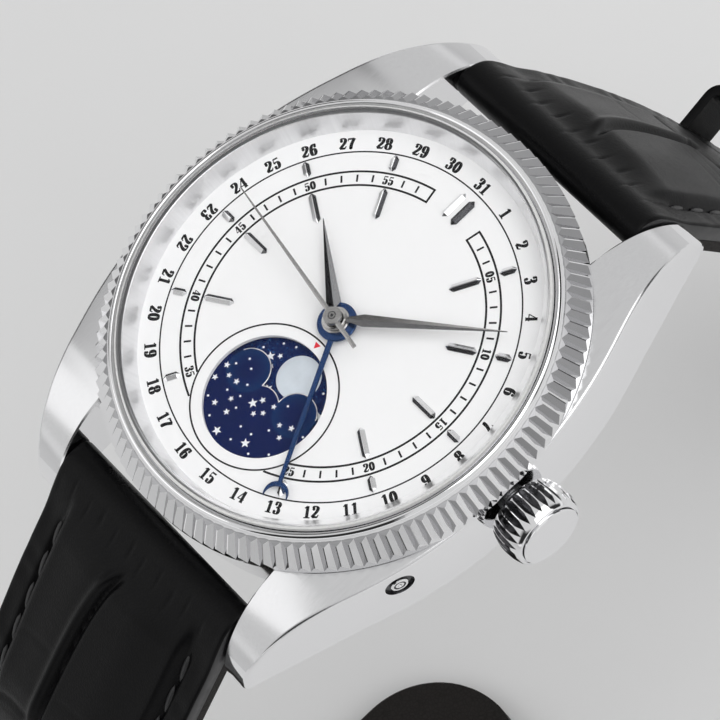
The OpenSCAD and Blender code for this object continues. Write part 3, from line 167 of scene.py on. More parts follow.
class CrownSizes(bpy.types.PropertyGroup):
    """Sizes of the crown"""

    start: length("Start", 20.75, "Distance of the crown's inner end from the centre")
    end: length("End", 23.85, "Distance of the end of the crown's flutes from the centre")
    radius: length("Radius", 3.35, "Greatest radius of the crown")
    height: length("Axis Height", 4.2, "Height of the crown's axis")
    socket_r: length("Socket Radius", 1.40, "Radius of the hollow for the tube")
    socket_end: length("Socket End", 21.95, "Distance of the hollow's floor from the centre")
    disc_r: length("Disc Radius", 2.70, "Radius of the raised disc on the end")
    flute_count: IntProperty(name="Flutes", description="Number of flutes", default=30, min=3)
    flute_depth: length("Flute Depth", 0.60, "Depth of a flute")


class StrapSizes(bpy.types.PropertyGroup):
    """Sizes of the two strap halves"""

    bar_y: length("Bar Distance", 22.8, "Distance of a spring bar from the centre")
    bar_z: length("Bar Height", 2.7, "Height of a spring bar")
    half_w: length("Half Width", 10.8, "Half of the strap's width at the lugs")
    end_half_w: length("End Half Width", 9.0, "Half of the strap's width at the buckle")
    roll_r: length("Roll Radius", 1.85, "Height of the roll round the spring bar, from the bar's middle")
    roll_in: length("Roll Reach", 2.55, "Reach of the roll towards the case, from the bar's middle")
    upper_t: length("Upper Thickness", 3.0, "Thickness of the padded upper at the lugs")
    end_t: length("End Thickness", 1.5, "Thickness of the upper at the strap's end")
    lining_t: length("Lining Thickness", 1.1, "Thickness of the lining")
    seam_in: length("Seam Inset", 2.35, "Distance of the stitched groove from the strap's side")
    stitch_pitch: length("Stitch Pitch", 3.2, "Distance from stitch to stitch")
    stitch_l: length("Stitch Length", 2.7, "Length of one stitch")
    stitch_w: length("Stitch Width", 0.62, "Thickness of the thread")


class WatchColours(bpy.types.PropertyGroup):
    """Colours of the watch's finishes"""

    steel: colour("Steel", (0.86, 0.86, 0.87), "Polished steel")
    lacquer: colour("Dial", (0.93, 0.93, 0.935), "Dial lacquer")
    ink: colour("Ink", (0.008, 0.008, 0.009), "Print on the dial")
    moon_blue: colour("Moon Blue", (0.0010, 0.008, 0.070), "Ground of the moon display")
    moon: colour("Moon", (0.68, 0.74, 0.80), "The moons on their disc")
    blued: colour("Blued Steel", (0.004, 0.045, 0.165), "Date hand and screws")
    leather: colour("Leather", (0.0030, 0.0030, 0.0034), "Strap's upper")
    lining: colour("Lining", (0.020, 0.018, 0.017), "Strap's lining")
    gilt: colour("Gilt", (0.83, 0.64, 0.33), "Wheels of the movement")
    nickel: colour("Nickel", (0.70, 0.70, 0.69), "Bridges and main plate")
    floor: colour("Floor", (0.88, 0.88, 0.88), "Floor under the watch")


GROUPS = {
    "watch_case": CaseSizes,
    "watch_bezel": BezelSizes,
    "watch_dial": DialSizes,
    "watch_hands": HandSizes,
    "watch_crown": CrownSizes,
    "watch_strap": StrapSizes,
    "watch_colours": WatchColours,
}


class Sizes:
    """Reads a property group's lengths in millimetres."""

    def __init__(self, group):
        self.group = group

    def __getattr__(self, name):
        value = getattr(self.group, name)
        return value if isinstance(value, int) else value / MM


# Mesh tools
def step(value):
    """Smooth step from 0 to 1 over the same range."""
    value = np.clip(value, 0.0, 1.0)
    return value * value * (3 - 2 * value)


def bump_at(value, centre, width):
    """Bell curve of height 1."""
    return np.exp(-((value - centre) / width) ** 2)


def revolved(profile, count):
    """A profile of (radius, height) turned about Z, one row of points per angle."""
    angles = np.arange(count) * 2 * math.pi / count
    p = np.array(profile, float)
    x = np.outer(np.cos(angles), p[:, 0])
    y = np.outer(np.sin(angles), p[:, 0])
    z = np.tile(p[:, 1], (count, 1))
    return np.stack([x, y, z], -1)


class Shape:
    """Gathers points in millimetres and faces for one mesh."""

    def __init__(self):
        self.points = []
        self.faces = []

    def add(self, points, faces):
        start = len(self.points)
        self.points.extend(tuple(float(v) for v in p) for p in points)
        self.faces.extend([int(i) + start for i in face] for face in faces)
        return self

    def grid(self, rows, around=False, along=False, caps=False):
        """Quads between rows of points, joined round each row or from the last row to the first."""
        rows = np.asarray(rows, float)
        n, m = rows.shape[:2]
        n_faces = n if along else n - 1
        m_faces = m if around else m - 1
        i, j = np.meshgrid(np.arange(n_faces), np.arange(m_faces), indexing="ij")
        k = (i + 1) % n
        q = (j + 1) % m
        faces = np.stack([i * m + j, i * m + q, k * m + q, k * m + j], -1).reshape(-1, 4).tolist()
        if caps:
            faces.append(list(range(m)))
            faces.append(list(range((n - 1) * m, n * m))[::-1])
        return self.add(rows.reshape(-1, 3), faces)

    def band(self, left, right, z0, z1, closed=False):
        """A flat strip between two lines of (x, y) points, with a thickness."""
        rows = [[(*a, z0), (*b, z0), (*b, z1), (*a, z1)] for a, b in zip(left, right)]
        return self.grid(rows, around=True, along=closed, caps=not closed)

    def plate(self, outline, z0, z1, bevel=0.0):
        """An outline of (x, y) points with a thickness and a bevelled upper edge."""
        p = np.array(outline, float)
        ahead = np.roll(p, -1, 0) - p
        ahead /= np.maximum(np.linalg.norm(ahead, axis=1, keepdims=True), 1e-9)
        mean = ahead + np.roll(ahead, 1, 0)
        mean /= np.maximum(np.linalg.norm(mean, axis=1, keepdims=True), 1e-9)
        area = np.sum(p[:, 0] * np.roll(p[:, 1], -1) - np.roll(p[:, 0], -1) * p[:, 1])
        inward = np.stack([-mean[:, 1], mean[:, 0]], -1) * (1 if area > 0 else -1)
        levels = [(p, z0), (p, z1 - bevel), (p + inward * bevel, z1)] if bevel else [(p, z0), (p, z1)]
        rows = [np.column_stack([q, np.full(len(q), z)]) for q, z in levels]
        return self.grid(rows, around=True, caps=True)

    def lathe(self, profile, count=128, matrix=None):
        """A closed profile of (radius, height) turned about Z, then placed by a matrix."""
        rows = revolved(profile, count)
        if matrix is not None:
            m = np.array(matrix)
            rows = rows @ m[:3, :3].T + m[:3, 3]
        return self.grid(rows, around=True, along=True)

    def tube(self, path, radius, sides=8, closed=False):
        """A round tube along a path in a plane of constant height."""
        p = np.array(path, float)
        ahead = np.gradient(p, axis=0)
        ahead /= np.linalg.norm(ahead, axis=1, keepdims=True)
        across = np.stack([-ahead[:, 1], ahead[:, 0], np.zeros(len(p))], -1)
        turn = np.arange(sides) * 2 * math.pi / sides
        up = np.array([0, 0, 1.0])
        rows = []
        for q, a in zip(p, across):
            rows.append(q + radius * (np.outer(np.cos(turn), a) + np.outer(np.sin(turn), up)))
        return self.grid(rows, around=True, along=closed, caps=not closed)

    def make(self, name):
        """The mesh as a Blender object, with its doubles merged and its faces pointing out."""
        mesh = bpy.data.meshes.new(name)
        mesh.from_pydata([tuple(v * MM for v in p) for p in self.points], [], self.faces)
        tidy(mesh)
        made = bpy.data.objects.new(name, mesh)
        bpy.context.scene.collection.objects.link(made)
        return made


def tidy(mesh, distance=2e-7):
    """Merges doubles, drops faces without area and points the rest outwards."""
    bm = bmesh.new()
    bm.from_mesh(mesh)
    bmesh.ops.remove_doubles(bm, verts=bm.verts, dist=distance)
    bmesh.ops.dissolve_degenerate(bm, edges=bm.edges, dist=distance / 2)
    wide = [face for face in bm.faces if len(face.verts) > 4]
    bmesh.ops.triangulate(bm, faces=wide, ngon_method="EAR_CLIP")
    bmesh.ops.recalc_face_normals(bm, faces=bm.faces)
    bm.to_mesh(mesh)
    bm.free()


def rounded(obj, angle=30):
    """Smooth shading with sharp edges above an angle."""
    obj.data.polygons.foreach_set("use_smooth", [True] * len(obj.data.polygons))
    obj.data.set_sharp_from_angle(angle=math.radians(angle))
    return obj


def baked(obj):
    """Turns the modifiers' result into a plain mesh."""
    depsgraph = bpy.context.evaluated_depsgraph_get()
    mesh = bpy.data.meshes.new_from_object(obj.evaluated_get(depsgraph), depsgraph=depsgraph)
    obj.modifiers.clear()
    obj.data = mesh
    return obj


def combined(obj, other, operation):
    """Adds another solid to this one or cuts it out, and removes the other."""
    modifier = obj.modifiers.new("Solid", "BOOLEAN")
    modifier.operation = operation
    modifier.solver = "MANIFOLD"
    modifier.object = other
    baked(obj)
    bpy.data.objects.remove(other)
    return obj


def painted(obj, *kinds):
    """Gives the object its finishes by name, the first one on every face."""
    obj.data.materials.clear()
    for kind in kinds:
        obj.data.materials.append(finish(kind))
    return obj


def finish_where(obj, index, test):
    """Gives a material to the faces whose middle, in millimetres, and normal pass a test."""
    for face in obj.data.polygons:
        if test(face.center / MM, face.normal):
            face.material_index = index
    return obj


def placed(obj, body, slot, *nodes, kind=None, smooth=0):
    """Finishes the piece, rides it on its body and hides the CAD nodes it stands for; its slot is not used.
    """
    if kind:
        painted(obj, kind)
    if smooth:
        rounded(obj, smooth)
    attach(obj, body)
    if nodes:
        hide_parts(*nodes)
    return obj


def axis_frame(origin, direction):
    """A matrix whose Z lies along a direction, in millimetres."""
    z = np.array(direction, float)
    z /= np.linalg.norm(z)
    x = np.cross([0, 1.0, 0] if abs(z[1]) < 0.9 else [1.0, 0, 0], z)
    x /= np.linalg.norm(x)
    m = np.eye(4)
    m[:3, 0] = x
    m[:3, 1] = np.cross(z, x)
    m[:3, 2] = z
    m[:3, 3] = origin
    return m


def rod_profile(radius, z0, z1):
    """Profile of a round rod."""
    return [(0, z0), (radius, z0), (radius, z1), (0, z1)]


def drilled(obj, radius, z0, z1, at=(0, 0, 0), direction=(0, 0, 1), count=32):
    """Cuts a round hole between two distances from a place."""
    drill = Shape().lathe(rod_profile(radius, z0, z1), count, axis_frame(at, direction))
    return combined(obj, drill.make("drill"), "DIFFERENCE")


# Node tools
def node(tree, kind, inputs=None, **settings):
    """Adds a node, with its settings, and links or sets its inputs."""
    made = tree.nodes.new(kind)
    for key, value in settings.items():
        setattr(made, key, value)
    for key, value in (inputs or {}).items():
        if isinstance(value, bpy.types.NodeSocket):
            tree.links.new(value, made.inputs[key])
        else:
            made.inputs[key].default_value = value
    return made


def sums(tree, operation, a, b=0.0, c=0.0):
    """The result socket of a Math node."""
    return node(tree, "ShaderNodeMath", {0: a, 1: b, 2: c}, operation=operation).outputs[0]


def spread(tree, value, low_in, high_in, low_out, high_out):
    """The result socket of a Map Range node."""
    inputs = {"Value": value, 1: low_in, 2: high_in, 3: low_out, 4: high_out}
    return node(tree, "ShaderNodeMapRange", inputs).outputs[0]


def object_place(tree):
    """The socket of object coordinates."""
    return node(tree, "ShaderNodeTexCoord").outputs["Object"]


def noise(tree, vector, scale, detail=2.0):
    """The value socket of a Noise Texture."""
    inputs = {"Vector": vector, "Scale": scale, "Detail": detail}
    return node(tree, "ShaderNodeTexNoise", inputs).outputs["Fac"]


def mapped(tree, vector, scale=(1, 1, 1), turn=(0, 0, 0)):
    """The result socket of a Mapping node."""
    inputs = {"Vector": vector, "Rotation": turn, "Scale": scale}
    return node(tree, "ShaderNodeMapping", inputs).outputs[0]


def new_group(name, kind, inputs, outputs):
    """A node group with named sockets, and its input and output nodes."""
    tree = bpy.data.node_groups.new(name, kind)
    for label, socket, default in inputs:
        made = tree.interface.new_socket(label, in_out="INPUT", socket_type=socket)
        if default is not None:
            made.default_value = default
    for label, socket in outputs:
        tree.interface.new_socket(label, in_out="OUTPUT", socket_type=socket)
    return tree, tree.nodes.new("NodeGroupInput").outputs, tree.nodes.new("NodeGroupOutput").inputs


FLOAT = "NodeSocketFloat"
VECTOR = "NodeSocketVector"


def polish_group():
    """Faint hairlines and smudges of handled, polished metal."""
    inputs = [("Scale", FLOAT, 900.0), ("Roughness", FLOAT, 0.07), ("Smudge", FLOAT, 0.05)]
    outputs = [("Roughness", FLOAT), ("Height", FLOAT)]
    tree, given, out = new_group("Polish Marks", "ShaderNodeTree", inputs, outputs)
    place = object_place(tree)
    smears = spread(tree, noise(tree, place, 160.0, 3.0), 0.45, 0.75, 0.0, 1.0)
    fine = noise(tree, mapped(tree, place, (1, 9, 1), (0.4, 0.3, 0.7)), given["Scale"])
    smudge = sums(tree, "MULTIPLY", smears, given["Smudge"])
    tree.links.new(sums(tree, "ADD", given["Roughness"], smudge), out["Roughness"])
    tree.links.new(fine, out["Height"])
    return tree


def brushed_group():
    """Straight brushing lines across one axis."""
    inputs = [("Stretch", VECTOR, (40.0, 2.0, 40.0)), ("Roughness", FLOAT, 0.28), ("Contrast", FLOAT, 0.12)]
    outputs = [("Roughness", FLOAT), ("Height", FLOAT), ("Shade", FLOAT)]
    tree, given, out = new_group("Brushed Grain", "ShaderNodeTree", inputs, outputs)
    lines = noise(tree, mapped(tree, object_place(tree), given["Stretch"]), 260.0, 4.0)
    swing = sums(tree, "MULTIPLY", sums(tree, "SUBTRACT", lines, 0.5), given["Contrast"])
    tree.links.new(sums(tree, "ADD", given["Roughness"], swing), out["Roughness"])
    tree.links.new(lines, out["Height"])
    tree.links.new(sums(tree, "ADD", swing, 1.0), out["Shade"])
    return tree


def round_group():
    """Values that follow the angle and radius about a vertical axis, for turned and radial finishes."""
    inputs = [("Centre", VECTOR, (0.0, 0.0, 0.0)), ("Rays", FLOAT, 40.0), ("Rings", FLOAT, 9000.0)]
    outputs = [("Rays", FLOAT), ("Rings", FLOAT), ("Angle", FLOAT), ("Radius", FLOAT)]
    tree, given, out = new_group("Turned Finish", "ShaderNodeTree", inputs, outputs)
    offset = {0: object_place(tree), 1: given["Centre"]}
    moved_place = node(tree, "ShaderNodeVectorMath", offset, operation="SUBTRACT").outputs[0]
    parts = node(tree, "ShaderNodeSeparateXYZ", {0: moved_place}).outputs
    flat = node(tree, "ShaderNodeCombineXYZ", {"X": parts["X"], "Y": parts["Y"]}).outputs[0]
    radius = node(tree, "ShaderNodeVectorMath", {0: flat}, operation="LENGTH").outputs["Value"]
    unit = node(tree, "ShaderNodeVectorMath", {0: flat}, operation="NORMALIZE").outputs[0]
    rings = node(tree, "ShaderNodeTexNoise",
                 {"W": radius, "Scale": given["Rings"], "Detail": 2.0}, noise_dimensions="1D")
    tree.links.new(noise(tree, unit, given["Rays"], 3.0), out["Rays"])
    tree.links.new(rings.outputs["Fac"], out["Rings"])
    tree.links.new(sums(tree, "ARCTAN2", parts["Y"], parts["X"]), out["Angle"])
    tree.links.new(radius, out["Radius"])
    return tree


def leather_group():
    """Pebbled grain with creases between the pebbles, painted darker there as painted shade, and worn,
    shinier tops.
    """
    inputs = [("Grain Scale", FLOAT, 1500.0), ("Roughness", FLOAT, 0.36)]
    outputs = [("Roughness", FLOAT), ("Height", FLOAT), ("Shade", FLOAT)]
    tree, given, out = new_group("Leather Grain", "ShaderNodeTree", inputs, outputs)
    place = object_place(tree)
    warp = node(tree, "ShaderNodeTexNoise", {"Vector": place, "Scale": 700.0, "Detail": 2.0})
    moves = {0: warp.outputs["Color"], 1: (0.0006, 0.0006, 0.0006), 2: place}
    bent = node(tree, "ShaderNodeVectorMath", moves, operation="MULTIPLY_ADD").outputs[0]
    cells = node(tree, "ShaderNodeTexVoronoi", {"Vector": bent, "Scale": given["Grain Scale"]},
                 feature="DISTANCE_TO_EDGE").outputs["Distance"]
    pebble = spread(tree, cells, 0.0, 0.16, 0.0, 1.0)
    rough = sums(tree, "MULTIPLY_ADD", noise(tree, place, 110.0, 3.0), 0.16, given["Roughness"])
    tree.links.new(sums(tree, "MULTIPLY_ADD", pebble, -0.08, rough), out["Roughness"])
    tree.links.new(sums(tree, "MULTIPLY_ADD", noise(tree, place, 4200.0), 0.35, pebble), out["Height"])
    # Painted shade: the colour darkens in the creases between the pebbles
    tree.links.new(spread(tree, pebble, 0.0, 1.0, 0.75, 1.05), out["Shade"])
    return tree


GROUP_BUILDERS = {
    "Polish Marks": polish_group,
    "Brushed Grain": brushed_group,
    "Turned Finish": round_group,
    "Leather Grain": leather_group,
}


class Finish:
    """One material: a principled shader whose values come from shared effects."""

    def __init__(self, name, base, metallic=0.0, roughness=0.4, **settings):
        self.material = bpy.data.materials.new(name)
        self.material.use_nodes = True
        self.tree = self.material.node_tree
        self.tree.nodes.clear()
        self.base = tuple(base)[:3]
        self.shader = node(self.tree, "ShaderNodeBsdfPrincipled", {
            "Base Color": (*self.base, 1.0), "Metallic": metallic, "Roughness": roughness})
        for key, value in settings.items():
            self.shader.inputs[key.replace("_", " ")].default_value = value
        self.output = node(self.tree, "ShaderNodeOutputMaterial", {"Surface": self.shader.outputs[0]})

    def effect(self, name, **values):
        """Places a shared effect, built when first asked for, with this finish's own values."""
        tree = bpy.data.node_groups.get(name) or GROUP_BUILDERS[name]()
        made = node(self.tree, "ShaderNodeGroup", node_tree=tree)
        for key, value in values.items():
            made.inputs[key.replace("_", " ")].default_value = value
        return made.outputs

    def roughness(self, socket):
        self.tree.links.new(socket, self.shader.inputs["Roughness"])
        return self

    def bump(self, socket, distance):
        """Bump from a height, whose distance is in millimetres."""
        made = node(self.tree, "ShaderNodeBump", {"Height": socket, "Distance": distance * MM})
        self.tree.links.new(made.outputs[0], self.shader.inputs["Normal"])
        return self

    def colour(self, socket):
        self.tree.links.new(socket, self.shader.inputs["Base Color"])
        return self

    def mix(self, factor, a, b):
        """The colour between two colours."""
        made = node(self.tree, "ShaderNodeMix", data_type="RGBA")
        for index, value in ((0, factor), (6, a), (7, b)):
            if isinstance(value, bpy.types.NodeSocket):
                self.tree.links.new(value, made.inputs[index])
            else:
                made.inputs[index].default_value = (*tuple(value)[:3], 1.0)
        return made.outputs[2]

    def tones(self, factor, low_share, high_share):
        """The base colour, between two shares of itself."""
        ends = [tuple(min(1.0, v * share) for v in self.base) for share in (low_share, high_share)]
        return self.colour(self.mix(factor, *ends))

    def shaded(self, socket):
        """The base colour times a shade."""
        full = 0.8
        bright = tuple(v / full for v in self.base)
        return self.colour(self.mix(sums(self.tree, "MULTIPLY", socket, full), (0.0, 0.0, 0.0), bright))


FINISHES = {}


def finish(name):
    """A finish by its name, built when it is first asked for."""
    if name not in FINISHES:
        FINISHES[name] = FINISH_MAKERS[name](name, bpy.context.scene.watch_colours).material
    return FINISHES[name]


def polished(name, base, roughness=0.06, marks=0.0006, smudge=0.05):
    made = Finish(name, base, 1.0, roughness)
    marking = made.effect("Polish Marks", Roughness=roughness, Smudge=smudge)
    return made.roughness(marking["Roughness"]).bump(marking["Height"], marks)


def brushed(name, base, stretch, roughness=0.26, depth=0.0016, contrast=0.14):
    made = Finish(name, base, 1.0, roughness)
    grain = made.effect("Brushed Grain", Stretch=stretch, Roughness=roughness, Contrast=contrast)
    return made.roughness(grain["Roughness"]).bump(grain["Height"], depth).shaded(grain["Shade"])


def turned(name, base, rays=0.0, rings=0.0, roughness=0.24, depth=0.002, ray_scale=40.0):
    """Metal finished round the watch's axis, with rays from it or rings about it."""
    made = Finish(name, base, 1.0, roughness)
    given = made.effect("Turned Finish", Rays=ray_scale)
    tree = made.tree
    mixed = sums(tree, "MULTIPLY_ADD", given["Rays"], rays, sums(tree, "MULTIPLY", given["Rings"], rings))
    made.shaded(sums(tree, "ADD", sums(tree, "MULTIPLY", mixed, 0.35), 1.0 - 0.175 * (rays + rings)))
    made.roughness(sums(tree, "MULTIPLY_ADD", mixed, 0.1, roughness - 0.05))
    return made.bump(mixed, depth)


def crystal_finish(name, roughness=0.0):
    """Clear, coated sapphire, whose shadow is only faint."""
    made = Finish(name, (1.0, 1.0, 1.0), 0.0, roughness, Transmission_Weight=1.0, IOR=1.2)
    tree = made.tree
    shadow = node(tree, "ShaderNodeLightPath").outputs["Is Shadow Ray"]
    clear = node(tree, "ShaderNodeBsdfTransparent", {"Color": (0.97, 0.97, 0.97, 1.0)})
    mixed = node(tree, "ShaderNodeMixShader", {0: shadow, 1: made.shader.outputs[0], 2: clear.outputs[0]})
    tree.links.new(mixed.outputs[0], made.output.inputs["Surface"])
    return made


def lacquer_finish(name, colours):
    """Glossy lacquer with the faintest clouds."""
    made = Finish(name, colours.lacquer, 0.0, 0.30, Coat_Weight=0.2, Coat_Roughness=0.05)
    place = object_place(made.tree)
    made.tones(noise(made.tree, place, 90.0, 3.0), 0.985, 1.0)
    return made.bump(noise(made.tree, place, 2600.0), 0.0004)


def side_finish(name, light, dark, period, roughness):
    """Ridged batons round the dial: one slope of each is satin with painted shade, the other has a painted
    highlight.
    """
    made = Finish(name, light, 1.0, roughness)
    tree = made.tree
    given = made.effect("Turned Finish")
    pitch = math.radians(period)
    turns = sums(tree, "ADD", sums(tree, "DIVIDE", given["Angle"], pitch), WHOLE_PITCHES + 0.5)
    across = sums(tree, "MULTIPLY", sums(tree, "SUBTRACT", sums(tree, "FRACT", turns), 0.5), pitch)
    side = sums(tree, "LESS_THAN", sums(tree, "MULTIPLY", across, given["Radius"]), -0.06 * MM)
    grain = made.effect("Brushed Grain", Stretch=(30.0, 30.0, 3.0), Roughness=roughness, Contrast=0.1)
    made.roughness(sums(tree, "MULTIPLY_ADD", side, 0.12, grain["Roughness"]))
    # Painted light: the shaded slope gets the dark colour, the other slope the bright one
    made.colour(made.mix(side, light, dark))
    return made.bump(grain["Height"], 0.0008)


def hand_side_finish(name, angle, left, right, hub):
    """A dauphine hand's two slopes painted light and dark as painted reflections, split along the hand's own
    length at its resting angle.
    """
    made = Finish(name, right, 1.0, 0.16)
    tree = made.tree
    parts = node(tree, "ShaderNodeSeparateXYZ", {0: object_place(tree)}).outputs
    a = math.radians(angle)
    across = sums(tree, "ADD", sums(tree, "MULTIPLY", parts["X"], math.cos(a)),
                  sums(tree, "MULTIPLY", parts["Y"], -math.sin(a)))
    # Painted reflection: one slope gets the left colour, the other slope the right colour
    slopes = made.mix(sums(tree, "GREATER_THAN", across, 0.0), left, right)
    on_hub = sums(tree, "LESS_THAN", made.effect("Turned Finish")["Radius"], hub * MM)
    grain = made.effect("Brushed Grain", Stretch=(12.0, 12.0, 3.0), Roughness=0.14, Contrast=0.12)
    made.roughness(grain["Roughness"])
    made.colour(made.mix(on_hub, slopes, (0.55, 0.54, 0.53)))
    return made.bump(grain["Height"], 0.0008)


def moon_ground_finish(name, colours):
    """Dark blue enamel with fine glitter."""
    made = Finish(name, colours.moon_blue, 0.0, 0.45, Specular_IOR_Level=0.06)
    tree = made.tree
    cells = node(tree, "ShaderNodeTexVoronoi", {"Vector": object_place(tree), "Scale": 9000.0})
    value = node(tree, "ShaderNodeSeparateColor", {0: cells.outputs["Color"]}).outputs[0]
    glitter = spread(tree, value, 0.80, 1.0, 0.0, 1.0)
    return made.colour(made.mix(glitter, colours.moon_blue, (0.02, 0.09, 0.26)))


# Middle of the painted light round the right hump, and its radius
HUMP_PAINTED_LIGHT_AT = (2.904, -7.546)
HUMP_PAINTED_LIGHT_R = 1.9


def cover_finish(name, colours):
    """The cover's enamel, with painted light towards the rims of its two humps."""
    made = Finish(name, colours.moon_blue, 0.0, 0.45, Specular_IOR_Level=0.06)
    tree = made.tree
    # Painted light that grows towards the rim of each hump
    painted_lights = []
    for side in (-1, 1):
        centre = (side * HUMP_PAINTED_LIGHT_AT[0] * MM, HUMP_PAINTED_LIGHT_AT[1] * MM, 0.0)
        radius = made.effect("Turned Finish", Centre=centre)["Radius"]
        inside = sums(tree, "LESS_THAN", radius, HUMP_PAINTED_LIGHT_R * MM)
        ramp = spread(tree, radius, 0.3 * MM, HUMP_PAINTED_LIGHT_R * MM, 0.0, 1.0)
        painted_lights.append(sums(tree, "MULTIPLY", ramp, inside))
    near = sums(tree, "POWER", sums(tree, "MAXIMUM", *painted_lights), 2.0)
    return made.colour(made.mix(near, colours.moon_blue, (0.003, 0.028, 0.105)))


def moon_finish(name, colours):
    """Pale metal, mottled like the moon."""
    made = Finish(name, colours.moon, 0.3, 0.35)
    marks = noise(made.tree, object_place(made.tree), 900.0, 4.0)
    return made.tones(marks, 0.86, 1.1).bump(marks, 0.004)


def leather_finish(name, base, roughness=0.34, grain=1500.0, depth=0.035):
    made = Finish(name, base, 0.0, roughness, Specular_IOR_Level=0.11)
    given = made.effect("Leather Grain", Grain_Scale=grain, Roughness=roughness)
    # The grain's shade darkens the creases, a painted shade
    made.shaded(given["Shade"])
    return made.roughness(given["Roughness"]).bump(given["Height"], depth)


def speckled(name, base, roughness, scale=3000.0, depth=0.002, swing=0.12, **settings):
    """A plain moulded, painted or spun surface with fine unevenness."""
    made = Finish(name, base, 0.0, roughness, **settings)
    fine = noise(made.tree, object_place(made.tree), scale, 3.0)
    made.tones(fine, 1 - swing, 1 + swing)
    made.roughness(spread(made.tree, fine, 0.3, 0.7, roughness - 0.05, roughness + 0.05))
    return made.bump(fine, depth)


def striped(name, base, pitch=1.1, angle=35.0, depth=0.012):
    """Wide parallel stripes cut across a bridge, each one rounded and finely scored, and painted from darker
    to lighter across its width as painted shade of its rounding.
    """
    made = Finish(name, base, 1.0, 0.24)
    tree = made.tree
    laid = mapped(tree, object_place(tree), turn=(0, 0, math.radians(angle)))
    along = node(tree, "ShaderNodeSeparateXYZ", {0: laid}).outputs["X"]
    share = sums(tree, "FRACT", sums(tree, "ADD", sums(tree, "DIVIDE", along, pitch * MM), 64.0))
    score = noise(tree, mapped(tree, laid, (4.0, 60.0, 4.0)), 200.0)
    # Painted shade: each stripe's colour ramps from darker to lighter across its width
    made.shaded(sums(tree, "MULTIPLY_ADD", share, 0.28, 0.78))
    made.roughness(spread(tree, score, 0.3, 0.7, 0.18, 0.32))
    return made.bump(sums(tree, "MULTIPLY_ADD", score, 0.08, sums(tree, "PINGPONG", share, 0.5)), depth)


def ruby_finish(name):
    """Polished ruby with a paler veil."""
    made = Finish(name, (0.62, 0.01, 0.07), 0.0, 0.05, Coat_Weight=1.0, Coat_Roughness=0.03)
    veil = noise(made.tree, object_place(made.tree), 1500.0)
    return made.colour(made.mix(veil, (0.40, 0.004, 0.04), (0.75, 0.02, 0.10)))


# Colour of blued steel along its hairlines
BLUED_DARK = (0.003, 0.030, 0.120)
# Pitches added to an angle so that it stays above zero
WHOLE_PITCHES = 32


def blued_finish(name, colours):
    """Heat-blued steel, darker along its hairlines."""
    made = Finish(name, colours.blued, 0.6, 0.22, Coat_Weight=0.15, Coat_Roughness=0.08)
    marks = made.effect("Polish Marks", Roughness=0.14, Smudge=0.06)
    made.colour(made.mix(marks["Height"], BLUED_DARK, colours.blued))
    return made.roughness(marks["Roughness"]).bump(marks["Height"], 0.0008)


FINISH_MAKERS = {
    "polished_steel": lambda n, c: polished(n, c.steel),
    # Painted shade for one slope of each bezel flute
    "flute_steel": lambda n, c: polished(n, (0.40, 0.40, 0.41), 0.12),
    "hand_steel": lambda n, c: polished(n, (0.36, 0.355, 0.35), 0.18),
    # Painted shade for recesses and for one slope of each crown flute
    "dark_steel": lambda n, c: polished(n, (0.08, 0.08, 0.085), 0.2),
    "satin_steel": lambda n, c: brushed(n, (0.74, 0.74, 0.75), (40.0, 2.0, 40.0), 0.20),
    "brushed_steel": lambda n, c: brushed(n, (0.68, 0.68, 0.69), (3.0, 40.0, 40.0), 0.28),
    "movement_steel": lambda n, c: brushed(n, (0.62, 0.62, 0.64), (20.0, 20.0, 4.0), 0.20),
    "annulus_steel": lambda n, c: turned(n, (0.40, 0.40, 0.41), rings=1.0, roughness=0.34),
    "back_steel": lambda n, c: turned(n, (0.70, 0.70, 0.71), rings=1.0, roughness=0.26, depth=0.004),
    "gilt_brass": lambda n, c: turned(n, c.gilt, rings=1.0, roughness=0.26),
    "rehaut_steel": lambda n, c: turned(n, (0.86, 0.86, 0.87), rays=0.40, roughness=0.40, depth=0.0004,
                                        ray_scale=60.0),
    "marker_steel": lambda n, c: side_finish(n, (0.90, 0.90, 0.91), (0.06, 0.06, 0.065), 30.0, 0.10),
    "hour_hand_steel": lambda n, c: hand_side_finish(n, HOUR_ANGLE, (0.012, 0.012, 0.014),
                                                     (0.36, 0.36, 0.37), 1.2),
    "minute_hand_steel": lambda n, c: hand_side_finish(n, MINUTE_ANGLE, (0.62, 0.61, 0.60),
                                                       (0.17, 0.17, 0.175), 1.0),
    "blued_steel": blued_finish,
    "nickel_plate": lambda n, c: striped(n, c.nickel),
    "rotor_metal": lambda n, c: striped(n, (0.76, 0.74, 0.70), 1.6, -20.0),
    "crystal_glass": lambda n, c: crystal_finish(n),
    "ground_glass": lambda n, c: crystal_finish(n, 0.45),
    "ruby": lambda n, c: ruby_finish(n),
    "dial_lacquer": lacquer_finish,
    "dial_ink": lambda n, c: speckled(n, c.ink, 0.45, depth=0.001, Specular_IOR_Level=0.15),
    "red_ink": lambda n, c: speckled(n, (0.75, 0.01, 0.03), 0.4, depth=0.001),
    "moon_blue": moon_ground_finish,
    "cover_blue": cover_finish,
    "moon_grey": moon_finish,
    "star_white": lambda n, c: speckled(n, (0.88, 0.90, 0.92), 0.4, depth=0.001, swing=0.04),
    "white_seal": lambda n, c: speckled(n, (0.80, 0.80, 0.79), 0.5),
    "black_rubber": lambda n, c: speckled(n, (0.018, 0.018, 0.018), 0.6),
    "black_leather": lambda n, c: leather_finish(n, c.leather, 0.30, 3600.0, 0.007),
    "lining_leather": lambda n, c: leather_finish(n, c.lining, 0.55, 2600.0, 0.012),
    "edge_paint": lambda n, c: speckled(n, (0.010, 0.010, 0.011), 0.38, 1200.0, 0.01),
    "thread": lambda n, c: speckled(n, (0.016, 0.016, 0.017), 0.42, 5000.0, 0.02),
    "floor": lambda n, c: speckled(n, c.floor, 0.6, 60.0, 0.0, 0.01),
}

